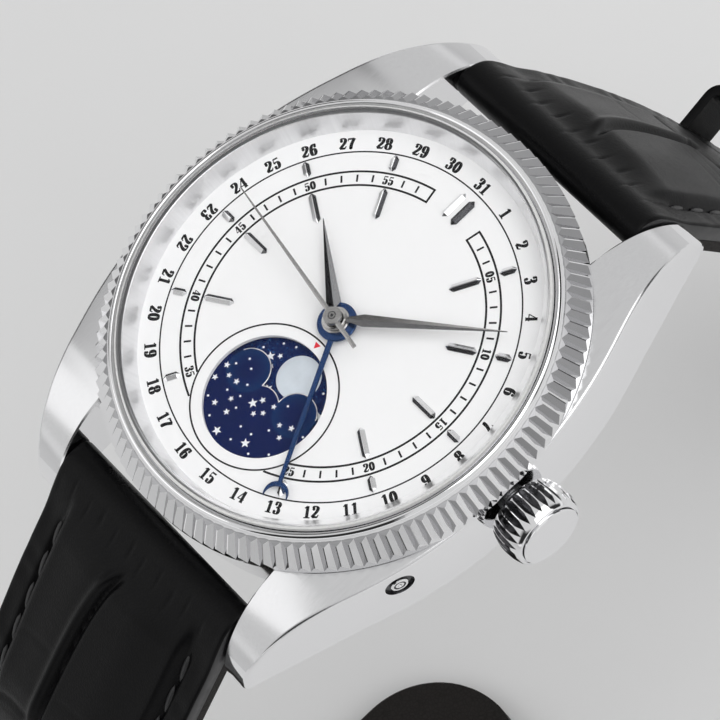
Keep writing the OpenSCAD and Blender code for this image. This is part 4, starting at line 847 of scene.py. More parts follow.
# CAD nodes that stay in view, by their finish
NODE_FINISHES = {
    "marker_steel": ["hour_markers"],
    "dial_lacquer": ["dial"],
    "white_seal": ["crystal_gasket", "back_glass_gasket"],
    "brushed_steel": ["crown_tube", "spring_bars", "buckle_bar"],
    "black_rubber": ["crown_gasket", "corrector_gasket", "case_back_gasket"],
    "back_steel": ["case_back_ring", "movement_ring"],
    "crystal_glass": ["case_back_glass"],
    "nickel_plate": ["main_plate", "train_bridge", "balance_cock"],
    "blued_steel": ["bridge_screws", "hairspring"],
    "ruby": ["jewels"],
    "rotor_metal": ["rotor"],
    "gilt_brass": ["mainspring_barrel", "centre_wheel", "third_wheel", "fourth_wheel", "balance_wheel",
                   "date_wheel", "hour_wheel", "minute_wheel"],
    "movement_steel": ["winding_stem", "winding_pinion", "ratchet_wheel", "crown_wheel", "click",
                       "escape_wheel", "pallet_fork", "rotor_bearing", "cannon_pinion"],
}


# Geometry Nodes
GEOMETRY = "NodeSocketGeometry"


def repeat_tree():
    """Repeats a sector round an axis and sews the copies together."""
    inputs = [("Sector", GEOMETRY, None), ("Count", "NodeSocketInt", 12), ("Axis", VECTOR, (0.0, 0.0, 1.0)),
              ("Pivot", VECTOR, (0.0, 0.0, 0.0)), ("Sewing Distance", FLOAT, 1e-6),
              ("Finish", "NodeSocketMaterial", None)]
    tree, given, out = new_group("Repeat Round Axis", "GeometryNodeTree", inputs, [("Ring", GEOMETRY)])
    single = node(tree, "GeometryNodeGeometryToInstance", {0: given["Sector"]}).outputs[0]
    copies = node(tree, "GeometryNodeDuplicateElements", {"Geometry": single, "Amount": given["Count"]},
                  domain="INSTANCE").outputs
    pitch = sums(tree, "DIVIDE", 2 * math.pi, given["Count"])
    angle = sums(tree, "MULTIPLY", copies["Duplicate Index"], pitch)
    turn = node(tree, "FunctionNodeAxisAngleToRotation", {"Axis": given["Axis"], "Angle": angle}).outputs[0]
    turned_copies = node(tree, "GeometryNodeRotateInstances", {
        "Instances": copies["Geometry"], "Rotation": turn, "Pivot Point": given["Pivot"],
        "Local Space": False}).outputs[0]
    real = node(tree, "GeometryNodeRealizeInstances", {0: turned_copies}).outputs[0]
    sewn = node(tree, "GeometryNodeMergeByDistance", {
        "Geometry": real, "Distance": given["Sewing Distance"]}).outputs[0]
    last = node(tree, "GeometryNodeSetMaterial", {"Geometry": sewn, "Material": given["Finish"]}).outputs[0]
    tree.links.new(last, out["Ring"])
    return tree


def stitch_tree():
    """Lays thread stitches along lines of points, standing on the surface that the lines carry."""
    inputs = [("Lines", GEOMETRY, None), ("Pitch", FLOAT, 0.0032), ("Length", FLOAT, 0.0027),
              ("Width", FLOAT, 0.00055), ("Slant", FLOAT, 0.12), ("Finish", "NodeSocketMaterial", None)]
    tree, given, out = new_group("Stitches", "GeometryNodeTree", inputs, [("Stitches", GEOMETRY)])
    curve = node(tree, "GeometryNodeMeshToCurve", {"Mesh": given["Lines"]}).outputs[0]
    spaced = node(tree, "GeometryNodeResampleCurve", {"Curve": curve, "Length": given["Pitch"]},
                  mode="LENGTH").outputs[0]
    ahead = node(tree, "GeometryNodeInputTangent").outputs[0]
    upward = node(tree, "GeometryNodeInputNamedAttribute", {"Name": "lie"},
                  data_type="FLOAT_VECTOR").outputs[0]
    facing = node(tree, "FunctionNodeAlignRotationToVector", {"Vector": ahead}, axis="X").outputs[0]
    standing = node(tree, "FunctionNodeAlignRotationToVector", {"Rotation": facing, "Vector": upward},
                    axis="Z", pivot_axis="X").outputs[0]
    slant = node(tree, "FunctionNodeAxisAngleToRotation",
                 {"Axis": (0.0, 0.0, 1.0), "Angle": given["Slant"]}).outputs[0]
    laid = node(tree, "FunctionNodeRotateRotation", {"Rotation": standing, "Rotate By": slant},
                rotation_space="LOCAL").outputs[0]
    ball = node(tree, "GeometryNodeMeshUVSphere", {"Segments": 8, "Rings": 6, "Radius": 0.5}).outputs[0]
    height = sums(tree, "MULTIPLY", given["Width"], 0.75)
    size = node(tree, "ShaderNodeCombineXYZ",
                {"X": given["Length"], "Y": given["Width"], "Z": height}).outputs[0]
    thread = node(tree, "GeometryNodeTransform", {"Geometry": ball, "Scale": size}).outputs[0]
    placed_threads = node(tree, "GeometryNodeInstanceOnPoints", {
        "Points": spaced, "Instance": thread, "Rotation": laid}).outputs[0]
    real = node(tree, "GeometryNodeRealizeInstances", {0: placed_threads}).outputs[0]
    last = node(tree, "GeometryNodeSetMaterial", {"Geometry": real, "Material": given["Finish"]}).outputs[0]
    tree.links.new(last, out["Stitches"])
    return tree


def generated(obj, name, builder, **values):
    """Runs a Geometry Nodes tree on the object with the given inputs and bakes the result."""
    tree = bpy.data.node_groups.get(name) or builder()
    modifier = obj.modifiers.new(name, "NODES")
    modifier.node_group = tree
    for item in tree.interface.items_tree:
        key = item.name.replace(" ", "_")
        if item.item_type == "SOCKET" and item.in_out == "INPUT" and key in values:
            modifier[item.identifier] = values[key]
    return baked(obj)


# Case
def flank_at(s, y):
    """Half width of the case in plan."""
    y = abs(y)
    centre = s.flank_x - s.flank_r
    if y <= s.straight_y:
        return centre + math.sqrt(s.flank_r ** 2 - y * y)
    slope = math.tan(math.asin(s.straight_y / s.flank_r))
    return centre + math.sqrt(s.flank_r ** 2 - s.straight_y ** 2) - (y - s.straight_y) * slope


def lug_section(s, y, inset):
    """Section of one side of the case across Y, as (x, z) points."""
    past = max(0.0, abs(y) - (s.lug_reach - s.lug_run))
    top = s.top - s.lug_curve_r + math.sqrt(s.lug_curve_r ** 2 - past * past) - inset
    under = s.bottom - s.lug_drop * past / s.lug_run + inset / 2
    outer = flank_at(s, y) - inset
    wall_r = s.chamber_r + s.chamber_wall
    inner = max(s.lug_gap / 2, math.sqrt(max(0.0, wall_r * wall_r - y * y))) + inset
    r = min(s.edge_r, (top - under) * 0.4)
    b = s.bevel
    edge = [(outer - r + r * math.cos(a), top - r + r * math.sin(a)) for a in np.linspace(0, math.pi / 2, 6)]
    return [(inner + b, under), (outer - b, under), (outer, under + b), *edge,
            (inner + b, top), (inner, top - b), (inner, under + b)]


def case_body(s):
    """Both sides of the case with their lugs, joined by the round body between them."""
    reach = s.lug_reach
    ends = [(reach, 0.26), (reach - 0.10, 0.08), (reach - 0.30, 0.0)]
    stations = [(-y, inset) for y, inset in ends]
    stations += [(y, 0.0) for y in np.linspace(-reach + 0.6, reach - 0.6, 130)]
    stations += ends[::-1]
    sides = []
    for side in (1, -1):
        rows = [[(side * x, y, z) for x, z in lug_section(s, y, inset)] for y, inset in stations]
        sides.append(Shape().grid(rows, around=True, caps=True).make("case_middle_steel"))
    body = combined(*sides, "UNION")
    drum = [(s.chamber_r, s.bottom), (s.drum_r - 0.15, s.bottom), (s.drum_r, s.bottom + 0.15),
            (s.drum_r, s.top), (s.chamber_r, s.top)]
    return combined(body, Shape().lathe(drum, 256).make("drum"), "UNION")


def case_holes(s, crown, strap):
    """Cutters for the crown's tube, the corrector and the ends of the spring bars."""
    cutters = Shape()
    cutters.lathe(rod_profile(s.tube_hole_r, 15.0, 22.0), 48, axis_frame((0, 0, crown.height), (1, 0, 0)))
    cutters.lathe(CORRECTOR_HOLE, 64, axis_frame(CORRECTOR_AT, CORRECTOR_AXIS))
    for side in (-1, 1):
        for end in (-1, 1):
            at = (side * s.lug_gap / 2, end * strap.bar_y, strap.bar_z)
            cutters.lathe(rod_profile(s.bar_hole_r, -0.5, 1.5), 32, axis_frame(at, (side, 0, 0)))
    return cutters.make("holes")


class WATCH_OT_case(bpy.types.Operator):
    """Build the case middle with its lugs, holes and corrector dish"""

    bl_idname = "watch.case"
    bl_label = "Case Middle"

    def execute(self, context):
        s = Sizes(context.scene.watch_case)
        body = case_body(s)
        holes = case_holes(s, Sizes(context.scene.watch_crown), Sizes(context.scene.watch_strap))
        combined(body, holes, "DIFFERENCE")
        combined(body, Shape().lathe(GASKET_GROOVE, 128).make("groove"), "DIFFERENCE")
        painted(body, "polished_steel", "satin_steel", "dark_steel")
        finish_where(body, 1, lambda c, n: n.z > 0.6 and abs(c.x) > s.lug_gap / 2 - 0.1)
        # Painted shade in the corrector's dish
        finish_where(body, 2, lambda c, n: from_corrector(c) < 1.27 and -3.0 < into_corrector(c) < -0.05)
        placed(body, "case", "polished_steel", "case_middle", smooth=24)
        return {"FINISHED"}


# Middle of the corrector's face, and the direction out of the flank
CORRECTOR_AT = (18.66, -11.0, 5.224)
CORRECTOR_AXIS = (0.9615, -0.275, 0.0)
# Profiles as (radius, distance) points: the corrector's hole and dish, and the groove of the back's gasket
CORRECTOR_HOLE = [(0, -6.0), (1.1, -6.0), (1.1, -1.2), (0.78, -1.2), (0.78, -0.25), (1.2, -0.25),
                  (1.28, 0.05), (1.28, 2.0), (0, 2.0)]
GASKET_GROOVE = [(17.1, 0.5), (17.55, 0.5), (17.55, 1.45), (17.1, 1.45)]


def from_corrector(point):
    """Distance of a point from the corrector's axis, in millimetres."""
    return (point - Vector(CORRECTOR_AT)).cross(Vector(CORRECTOR_AXIS)).length


def into_corrector(point):
    """Distance of a point out of the flank, along the corrector's axis."""
    return (point - Vector(CORRECTOR_AT)).dot(Vector(CORRECTOR_AXIS))


# Bezel, rehaut and crystal
# Rise of the annulus for each millimetre inwards
ANNULUS_SLOPE = 0.4


def bezel_sector(s, inner, annulus_z):
    """One flute of the bezel, from ridge to ridge."""
    ring_w = s.ring_out_r - s.ring_in_r
    half_round = [(s.ring_out_r, annulus_z)]
    for t in np.linspace(0.0, 1.0, 13)[1:]:
        rise = math.sin(math.pi * min(1.0, 0.06 + t * 0.86))
        half_round.append((s.ring_out_r - ring_w * t, annulus_z + s.ring_h * rise))
    rows = []
    for turn, share in ((-1.0, 0), (-0.93, 0), (0.0, 1), (0.93, 0), (1.0, 0)):
        point_r = s.annulus_r - s.flute_depth * share
        profile = [(inner, s.bottom), (s.radius - 0.12, s.bottom), (s.radius, s.bottom + 0.12),
                   (s.radius, s.skirt_top - s.flute_drop * share),
                   (point_r, s.flute_top + (s.annulus_r - point_r) * ANNULUS_SLOPE), *half_round,
                   (s.ring_in_r, s.crystal_z), (inner, s.crystal_z)]
        angle = turn * math.pi / s.flute_count
        rows.append([(r * math.cos(angle), r * math.sin(angle), z) for r, z in profile])
    return Shape().grid(rows, around=True).make("bezel_fluted")


def bezel_ring(s, inner):
    """The whole bezel, one slope of each flute painted darker as painted shade, and the annulus turned."""
    annulus_z = s.flute_top + (s.annulus_r - s.ring_out_r) * ANNULUS_SLOPE
    bezel = bezel_sector(s, inner, annulus_z)
    generated(bezel, "Repeat Round Axis", repeat_tree, Count=s.flute_count, Finish=finish("polished_steel"))
    tidy(bezel.data)
    painted(bezel, "polished_steel", "annulus_steel", "flute_steel")
    flute_in = s.annulus_r - s.flute_depth - 0.01
    annulus = (s.ring_out_r - 0.05, s.annulus_r + 0.05)

    def clockwise(c, n):
        return (n.y * c.x - n.x * c.y) / c.xy.length

    # Painted shade: the darker steel on one slope of each flute
    finish_where(bezel, 2, lambda c, n: c.xy.length > flute_in and c.z > 7.6 and clockwise(c, n) < -0.15)
    finish_where(bezel, 1, lambda c, n: (
        n.z > 0.85 and c.z < annulus_z + 0.01 and annulus[0] < c.xy.length < annulus[1]))
    return bezel


def rehaut_ring(s, outer, dial):
    """The conical ring between the dial and the crystal."""
    profile = [(dial.view_r, dial.top), (outer, dial.top), (outer, s.crystal_z), (outer - 0.4, s.crystal_z),
               (outer - 0.46, s.crystal_z - 0.05)]
    return Shape().lathe(profile, 256).make("rehaut")


def domed_crystal(s):
    """The crystal with its ground bevel and low dome."""
    bevel_r = s.crystal_r - s.crystal_bevel
    bevel_z = high("crystal").z - s.dome
    dome = [(bevel_r * t, bevel_z + s.dome * (1 - t * t)) for t in np.linspace(1.0, 0.0, 14)]
    edge_z = s.crystal_z + s.crystal_edge
    glass = [(0, s.crystal_z), (s.crystal_r, s.crystal_z), (s.crystal_r, edge_z), *dome]
    crystal = painted(Shape().lathe(glass, 256).make("crystal_domed"), "crystal_glass", "ground_glass")
    return finish_where(crystal, 1, lambda c, n: c.xy.length > bevel_r - 0.01 and c.z > s.crystal_z + 0.01)


class WATCH_OT_bezel(bpy.types.Operator):
    """Build the fluted bezel, the rehaut and the crystal"""

    bl_idname = "watch.bezel"
    bl_label = "Bezel and Crystal"

    def execute(self, context):
        s = Sizes(context.scene.watch_bezel)
        dial = Sizes(context.scene.watch_dial)
        inner = s.ring_in_r - 0.12
        placed(bezel_ring(s, inner), "case", "polished_steel", "bezel", smooth=22)
        ring = rehaut_ring(s, inner - 0.02, dial)
        placed(ring, "case", "brushed_steel", "rehaut_ring", kind="rehaut_steel", smooth=25)
        placed(domed_crystal(s), "case", "crystal_glass", "crystal", smooth=20)
        return {"FINISHED"}


# Numerals: curves as points in hundredths, straight strokes with their width, and round terminals
NIB = "nib"
BAR = "bar"
DOT = "dot"
OVAL = "oval"
DIGITS = {
    "0": [(OVAL, 31, 50, 19, 45)],
    "1": [(BAR, 24, 33, 3, 33, 97), (BAR, 10, 32, 95, 11, 79), (BAR, 9, 9, 4, 57, 4)],
    "2": [(NIB, 12, 80, 21, 94, 35, 95, 47, 86, 48, 70, 39, 50, 22, 28, 9, 9), (DOT, 17, 74, 12),
          (BAR, 16, 8, 10, 50, 11), (BAR, 8, 50, 9, 57, 30)],
    "3": [(NIB, 12, 84, 24, 96, 39, 93, 46, 77, 39, 60, 22, 53),
          (NIB, 22, 53, 41, 48, 48, 29, 41, 9, 24, 4, 10, 15),
          (DOT, 16, 78, 11), (DOT, 15, 20, 12)],
    "4": [(BAR, 24, 43, 3, 43, 96), (BAR, 8, 41, 95, 4, 28), (BAR, 8, 3, 28, 60, 28),
          (BAR, 7, 28, 4, 58, 4)],
    "5": [(BAR, 13, 12, 91, 52, 93), (BAR, 7, 13, 92, 11, 53),
          (NIB, 11, 53, 25, 62, 42, 56, 48, 33, 40, 10, 24, 4, 10, 15), (DOT, 15, 21, 12)],
    "6": [(NIB, 50, 84, 39, 96, 24, 89, 14, 66, 13, 36, 19, 11, 32, 4, 45, 13, 49, 32, 43, 51, 31, 57,
           19, 49),
          (DOT, 46, 78, 11)],
    "7": [(BAR, 14, 7, 88, 55, 88), (BAR, 7, 7, 94, 6, 70), (NIB, 56, 92, 43, 65, 33, 38, 29, 4),
          (DOT, 29, 10, 12)],
    "8": [(OVAL, 31, 73, 16, 22), (OVAL, 31, 27, 19, 23)],
}
ADVANCE = 0.66


def smoothed(points, count=6):
    """A curve through the points."""
    p = np.array(points, float)
    p = np.vstack([2 * p[0] - p[1], p, 2 * p[-1] - p[-2]])
    out = []
    for a, b, c, d in zip(p, p[1:], p[2:], p[3:]):
        for t in np.arange(count) / count:
            out.append(0.5 * (2 * b + (c - a) * t + (2 * a - 5 * b + 4 * c - d) * t * t
                              + (3 * b - 3 * c + d - a) * t ** 3))
    out.append(p[-2])
    return np.array(out)


def pen(line, closed=False):
    """The two sides of a nib's stroke, broad where it runs upright and thin where it lies level."""
    ahead = np.roll(line, -1, 0) - np.roll(line, 1, 0) if closed else np.gradient(line, axis=0)
    ahead /= np.maximum(np.linalg.norm(ahead, axis=1, keepdims=True), 1e-9)
    half = (0.10 + 0.18 * np.abs(ahead[:, 1:2]) ** 1.6) / 2
    across = np.stack([-ahead[:, 1], ahead[:, 0]], -1)
    return line + across * half, line - across * half


def digit_strokes(digit):
    """Left and right sides of each stroke of a digit, one unit high."""
    turned_over = digit == "9"
    strokes = []
    for kind, *values in DIGITS["6" if turned_over else digit]:
        v = np.array(values, float) / 100
        closed = kind in (DOT, OVAL)
        if kind == NIB:
            left, right = pen(smoothed(v.reshape(-1, 2)))
        elif kind == BAR:
            a, b = v[1:3], v[3:5]
            along = (b - a) / np.linalg.norm(b - a)
            across = np.array([-along[1], along[0]]) * v[0] / 2
            left, right = np.array([a + across, b + across]), np.array([a - across, b - across])
        else:
            turn = np.arange(20) * 2 * math.pi / 20
            circle = np.stack([np.cos(turn), np.sin(turn)], -1)
            if kind == OVAL:
                left, right = pen(v[:2] + circle * v[2:4], closed=True)
            else:
                left, right = v[:2] + circle * v[2], v[:2] + circle * v[2] * 0.05
        if turned_over:
            left, right = (0.62, 1.0) - left, (0.62, 1.0) - right
        strokes.append((left, right, closed))
    return strokes


def print_number(shape, text, radius, angle, height, z0, z1):
    """Prints a number at a clock angle, upright at the top and turned over through the lower half."""
    a = math.radians(angle)
    outward = np.array([math.sin(a), math.cos(a)])
    flip = -1 if 90.01 < angle % 360 < 269.99 else 1
    up = outward * flip
    right_way = np.array([up[1], -up[0]])
    start = -(ADVANCE * (len(text) - 1) + 0.62) / 2
    for index, digit in enumerate(text):
        for left, right, closed in digit_strokes(digit):
            sides = []
            for line in (left, right):
                x = (line[:, 0] + start + index * ADVANCE) * height
                y = (line[:, 1] - 0.5) * height
                sides.append(outward * radius + np.outer(x, right_way) + np.outer(y, up))
            shape.band(sides[0], sides[1], z0, z1, closed)


def arc_band(shape, centre, radius, width, start, end, z0, z1):
    """Prints part of a ring between two clock angles, or a whole one."""
    closed = end - start >= 360
    count = max(8, int((end - start) * radius / 8))
    angles = np.radians(np.linspace(start, end, count, endpoint=not closed))
    ray = np.stack([np.sin(angles), np.cos(angles)], -1)
    middle = np.array(centre, float)
    shape.band(middle + ray * (radius - width / 2), middle + ray * (radius + width / 2), z0, z1, closed)


def tick(shape, angle, r0, r1, width, z0, z1):
    a = math.radians(angle)
    ray = np.array([math.sin(a), math.cos(a)])
    across = np.array([math.cos(a), -math.sin(a)]) * width / 2
    shape.band([ray * r0 - across, ray * r1 - across], [ray * r0 + across, ray * r1 + across], z0, z1)


# Degrees of one minute, and width of the track's lines
MINUTE = 6.0
TRACK_LINE_W = 0.17


def minute_track(ink, s, z0, z1):
    """Two lines with ticks and numerals between them, open at twelve and at the moon window."""
    first, last = 2, 58
    for radius, low_gap, high_gap in ((s.track_in_r, 25.2, 34.8), (s.track_out_r, 26.5, 33.5)):
        arc_band(ink, (0, 0), radius, TRACK_LINE_W, first * MINUTE, low_gap * MINUTE, z0, z1)
        arc_band(ink, (0, 0), radius, TRACK_LINE_W, high_gap * MINUTE, last * MINUTE, z0, z1)
    middle_r = (s.track_in_r + s.track_out_r) / 2
    for minute in range(first, last + 1):
        angle = minute * MINUTE
        if minute in (first, last):
            tick(ink, angle, s.track_in_r - 0.08, s.track_out_r + 0.08, TRACK_LINE_W, z0, z1)
        elif minute % 5 == 0 and minute != 30:
            print_number(ink, "%02d" % minute, middle_r, angle, s.minute_h, z0, z1)
        elif not 25 < minute < 35:
            tick(ink, angle, middle_r - 0.31, middle_r + 0.31, 0.16, z0, z1)


class WATCH_OT_dial(bpy.types.Operator):
    """Print the dial: dates, minute track and the ring round the moon window"""

    bl_idname = "watch.dial"
    bl_label = "Dial Print"

    def execute(self, context):
        s = Sizes(context.scene.watch_dial)
        z0, z1 = s.top - 0.005, s.top + 0.012
        ink = Shape()
        for date in range(1, 32):
            print_number(ink, str(date), s.date_r, date * 360 / 31, s.date_h, z0, z1)
        arc_band(ink, (0, 0), s.date_line_r, 0.12, 0, 360, z0, z1)
        minute_track(ink, s, z0, z1)
        arc_band(ink, (0, -s.moon_y), s.moon_ring_r, 0.14, 0, 360, z0, z1)
        placed(ink.make("dial_print"), "case", "dial_lacquer", kind="dial_ink")

        top_y = s.moon_ring_r - s.moon_y - 0.25
        triangle = Shape().plate([(-0.30, top_y), (0.30, top_y), (0.0, top_y - 0.52)], z0, z1)
        placed(triangle.make("moon_pointer"), "case", "dial_lacquer", kind="red_ink")
        return {"FINISHED"}


# Moon display
def star(shape, x, y, radius, z0, z1, turn):
    angles = turn + np.arange(10) * math.pi / 5
    reach = np.where(np.arange(10) % 2 == 0, radius, radius * 0.42)
    shape.plate(np.stack([x + reach * np.cos(angles), y + reach * np.sin(angles)], -1), z0, z1)


def scatter(shape, centre, z0, z1, count, accept, chance, spacing=0.75):
    """Scatters stars and dots over the places that pass a test, none too close together."""
    taken = []
    tries = 0
    while len(taken) < count and tries < 4000:
        tries += 1
        x, y = chance.uniform(-5.0, 5.0), chance.uniform(-5.0, 5.0)
        if not accept(x, y) or any(math.hypot(x - a, y - b) < spacing for a, b in taken):
            continue
        taken.append((x, y))
        if len(taken) % 2:
            size = chance.choice((0.26, 0.30, 0.42))
            star(shape, centre[0] + x, centre[1] + y, size, z0, z1, chance.uniform(0, math.pi))
        else:
            turn = np.arange(12) * math.pi / 6
            ring = np.stack([centre[0] + x + 0.1 * np.cos(turn), centre[1] + y + 0.1 * np.sin(turn)], -1)
            shape.plate(ring, z0, z1)


# Profiles of the moon disc and of one moon, and a moon's distance from the disc's middle
DISC_PROFILE = [(0, 6.2), (0.3, 6.2), (0.3, 7.3), (5.4, 7.3), (5.4, 7.46), (0, 7.46)]
MOON_PROFILE = [(0, 7.44), (1.9, 7.44), (1.9, 7.48), (1.84, 7.5), (0, 7.505)]
MOON_OUT = 3.055


def arc(x, y, radius, start, end):
    """Points of a circle between two angles."""
    angles = np.radians(np.linspace(start, end, 28))
    return [(x + radius * math.cos(a), y + radius * math.sin(a)) for a in angles]


class Humps:
    """The cover's edge across the window: two humps and a saddle, about the window's middle."""

    def __init__(self, r):
        self.r, self.x, self.y = r * 0.356, r * 0.558, r * 0.125
        self.saddle_r, self.saddle_y = r * 0.342, r * -0.179

    def covered(self, x, y, margin):
        """Whether a place lies under the edge by more than a margin."""
        over_hump = min(math.hypot(x - self.x, y - self.y), math.hypot(x + self.x, y - self.y))
        over_saddle = math.hypot(x, y - self.saddle_y)
        return y < 0.5 - margin or over_hump < self.r - margin or over_saddle < self.saddle_r - margin

    def line(self):
        """The edge's points, from right to left."""
        meet_x = self.x - self.r + 0.006
        meet_y = self.saddle_y + math.sqrt(self.saddle_r ** 2 - meet_x ** 2)
        dip = math.degrees(math.asin((self.y - meet_y) / self.r))
        lean = math.degrees(math.atan2(meet_y - self.saddle_y, meet_x))
        saddle = arc(0, self.saddle_y, self.saddle_r, lean, 180 - lean)[1:-1]
        return arc(self.x, self.y, self.r, 0, 180 + dip) + saddle + arc(-self.x, self.y, self.r, -dip, 180)


def shifted(x, y):
    """A matrix that moves sideways, in millimetres."""
    m = np.eye(4)
    m[:2, 3] = (x, y)
    return m


def moon_cover(s, humps, chance):
    """The window's cover, its stars and the bright edge along its humps."""
    line = humps.line()
    outline = [(x, y - s.moon_y) for x, y in arc(0, 0, s.moon_r + 0.7, 176, 364) + line]
    cover = Shape().plate(outline, 7.6, 7.8).make("moon_cover_plate")
    placed(cover, "case", "moon_blue", "moon_cover", kind="cover_blue", smooth=30)

    stars = Shape()
    scatter(stars, (0.0, -s.moon_y), 7.79, 7.815, 34,
            lambda x, y: math.hypot(x, y) < s.moon_r - 0.3 and humps.covered(x, y, 0.36), chance)
    placed(stars.make("cover_stars"), "case", "moon_blue", kind="star_white")

    bead = Shape().tube([(x, y - s.moon_y, 7.79) for x, y in line[4:-4]], 0.05)
    placed(bead.make("cover_edge"), "case", "moon_blue", kind="polished_steel", smooth=50)


def moon_disc(s, chance):
    """The disc that turns under the window, with its two moons and its stars."""
    ground = Shape().lathe(DISC_PROFILE, 128, shifted(0, -s.moon_y)).make("moon_ground")
    placed(ground, "moon", "moon_blue", "moon_disc", kind="moon_blue", smooth=30)

    turns = (math.radians(79), math.radians(259))
    places = [(MOON_OUT * math.cos(a), MOON_OUT * math.sin(a)) for a in turns]
    moons = Shape()
    for x, y in places:
        moons.lathe(MOON_PROFILE, 64, shifted(x, y - s.moon_y))
    placed(moons.make("moons"), "moon", "moon_blue", kind="moon_grey", smooth=30)

    def open_ground(x, y):
        return math.hypot(x, y) < 4.9 and min(math.hypot(x - a, y - b) for a, b in places) > 2.2

    stars = Shape()
    scatter(stars, (0.0, -s.moon_y), 7.45, 7.475, 40, open_ground, chance)
    placed(stars.make("disc_stars"), "moon", "moon_blue", kind="star_white")


class WATCH_OT_moon(bpy.types.Operator):
    """Build the moon disc, the stars and the bright edge of the window's cover"""

    bl_idname = "watch.moon"
    bl_label = "Moon Display"

    def execute(self, context):
        s = Sizes(context.scene.watch_dial)
        chance = random.Random(31)
        moon_cover(s, Humps(s.moon_r), chance)
        moon_disc(s, chance)
        return {"FINISHED"}


# Hands
def clock_turned(points, angle):
    """Points drawn towards twelve, turned to a clock angle."""
    a = math.radians(angle)
    p = np.array(points, float)
    x = p[..., 0] * math.cos(a) + p[..., 1] * math.sin(a)
    y = -p[..., 0] * math.sin(a) + p[..., 1] * math.cos(a)
    return np.stack([x, y, *([p[..., 2]] if p.shape[-1] == 3 else [])], -1)


# Clock angles of the hands at rest, in degrees
HOUR_ANGLE = 304.4
MINUTE_ANGLE = 53.0
SECONDS_ANGLE = 279.0
DATE_ANGLE = 151.0


# Heights of the seconds hand's underside and of the date hand's two faces
SECONDS_Z = 9.88
DATE_Z = (8.56, 8.72)


def dauphine(name, z, angle, reach, width, hub_r, bore_r):
    """A two-sloped pointed hand with its hub."""
    half_w = width / 2
    rows = []
    for y, w in ((0.3, 0.14), (hub_r, 0.16), (0.17 * reach, half_w), (reach - 0.05, 0.035), (reach, 0.012)):
        ridge = z + 0.08 + 0.12 * min(1.0, w / half_w)
        rows.append([(-w, y, z), (w, y, z), (w, y, z + 0.08), (0, y, ridge), (-w, y, z + 0.08)])
    hand = Shape().grid(clock_turned(rows, angle), around=True, caps=True).make(name)
    hub = [(bore_r, z - 0.12), (hub_r, z - 0.12), (hub_r, z + 0.16), (hub_r - 0.05, z + 0.21),
           (hub_r - 0.24, z + 0.21), (hub_r - 0.27, z + 0.17), (bore_r, z + 0.17)]
    drilled(hand, bore_r + 0.1, z - 1.0, z + 1.0, count=48)
    return combined(hand, Shape().lathe(hub, 72).make("hub"), "UNION")


def seconds_hand(s):
    """A slim, flat-topped blade with its tail and a stepped hub."""
    z = SECONDS_Z
    rows = []
    for y, w in ((-s.seconds_tail, 0.15), (-s.seconds_tail + 0.05, 0.18), (0.0, 0.21), (7.0, 0.14),
                 (s.seconds_l - 0.1, 0.055), (s.seconds_l, 0.02)):
        rows.append([(-w, y, z), (w, y, z), (w, y, z + 0.06), (0.3 * w, y, z + 0.13),
                     (-0.3 * w, y, z + 0.13), (-w, y, z + 0.06)])
    rows = clock_turned(rows, SECONDS_ANGLE)
    blade = Shape().grid(rows, around=True, caps=True).make("seconds_hand_steel")
    hub = [(r, z + lift) for r, lift in (
        (0, -0.1), (0.77, -0.1), (0.77, 0.15), (0.72, 0.20), (0.34, 0.20), (0.31, 0.15), (0.27, 0.15),
        (0.25, 0.21), (0.15, 0.21), (0.13, 0.17), (0, 0.17))]
    combined(blade, Shape().lathe(hub, 64).make("hub"), "UNION")
    # Painted shade in the hub's ring groove and hollow middle
    painted(blade, "hand_steel", "dark_steel")
    return finish_where(blade, 1, lambda c, n: c.z > z + 0.05 and (
        c.xy.length < 0.13 or 0.26 < c.xy.length < 0.32 and c.z < z + 0.19))


def crescent_rows(reach, outer_r, low_z, top_z):
    """Sections of the date hand's crescent from horn to horn."""
    inner_r, shift = outer_r - 0.05, 0.36
    horn_y = (outer_r ** 2 - inner_r ** 2 + shift ** 2) / (2 * shift)
    horn_x = math.sqrt(outer_r ** 2 - horn_y ** 2)
    horn_out = math.atan2(horn_y, horn_x)
    horn_in = math.atan2(horn_y - shift, horn_x)
    outer_turns = np.linspace(horn_out, -math.pi - horn_out, 61)
    inner_turns = np.linspace(horn_in, -math.pi - horn_in, 61)
    rows = []
    for a, b in zip(outer_turns, inner_turns):
        outer = np.array([outer_r * math.cos(a), reach + outer_r * math.sin(a)])
        inner = np.array([inner_r * math.cos(b), reach + shift + inner_r * math.sin(b)])
        inner += (inner - outer) / max(np.linalg.norm(inner - outer), 1e-6) * 0.02
        bevel = (outer - inner) * 0.15
        rows.append([(*outer, low_z), (*inner, low_z), (*inner, top_z - 0.04), (*(inner + bevel), top_z),
                     (*(outer - bevel), top_z), (*outer, top_z - 0.04)])
    return rows


def date_hand(s):
    """The date hand: collar, tapered stem and crescent."""
    low_z, top_z = DATE_Z
    rows = crescent_rows(s.date_l, s.crescent_r, low_z, top_z)
    hand = Shape().grid(clock_turned(rows, DATE_ANGLE), around=True, caps=True).make("date_hand_blued")
    stem_end = s.date_l - 0.9
    stem = [(-0.24, 1.2), (0.24, 1.2), (0.17, stem_end), (-0.17, stem_end)]
    combined(hand, Shape().plate(clock_turned(stem, DATE_ANGLE), low_z, top_z, 0.05).make("stem"), "UNION")
    collar = [(0.96, low_z), (1.66, low_z), (1.66, top_z + 0.02), (1.60, top_z + 0.08),
              (0.96, top_z + 0.08)]
    return combined(hand, Shape().lathe(collar, 96).make("collar"), "UNION")


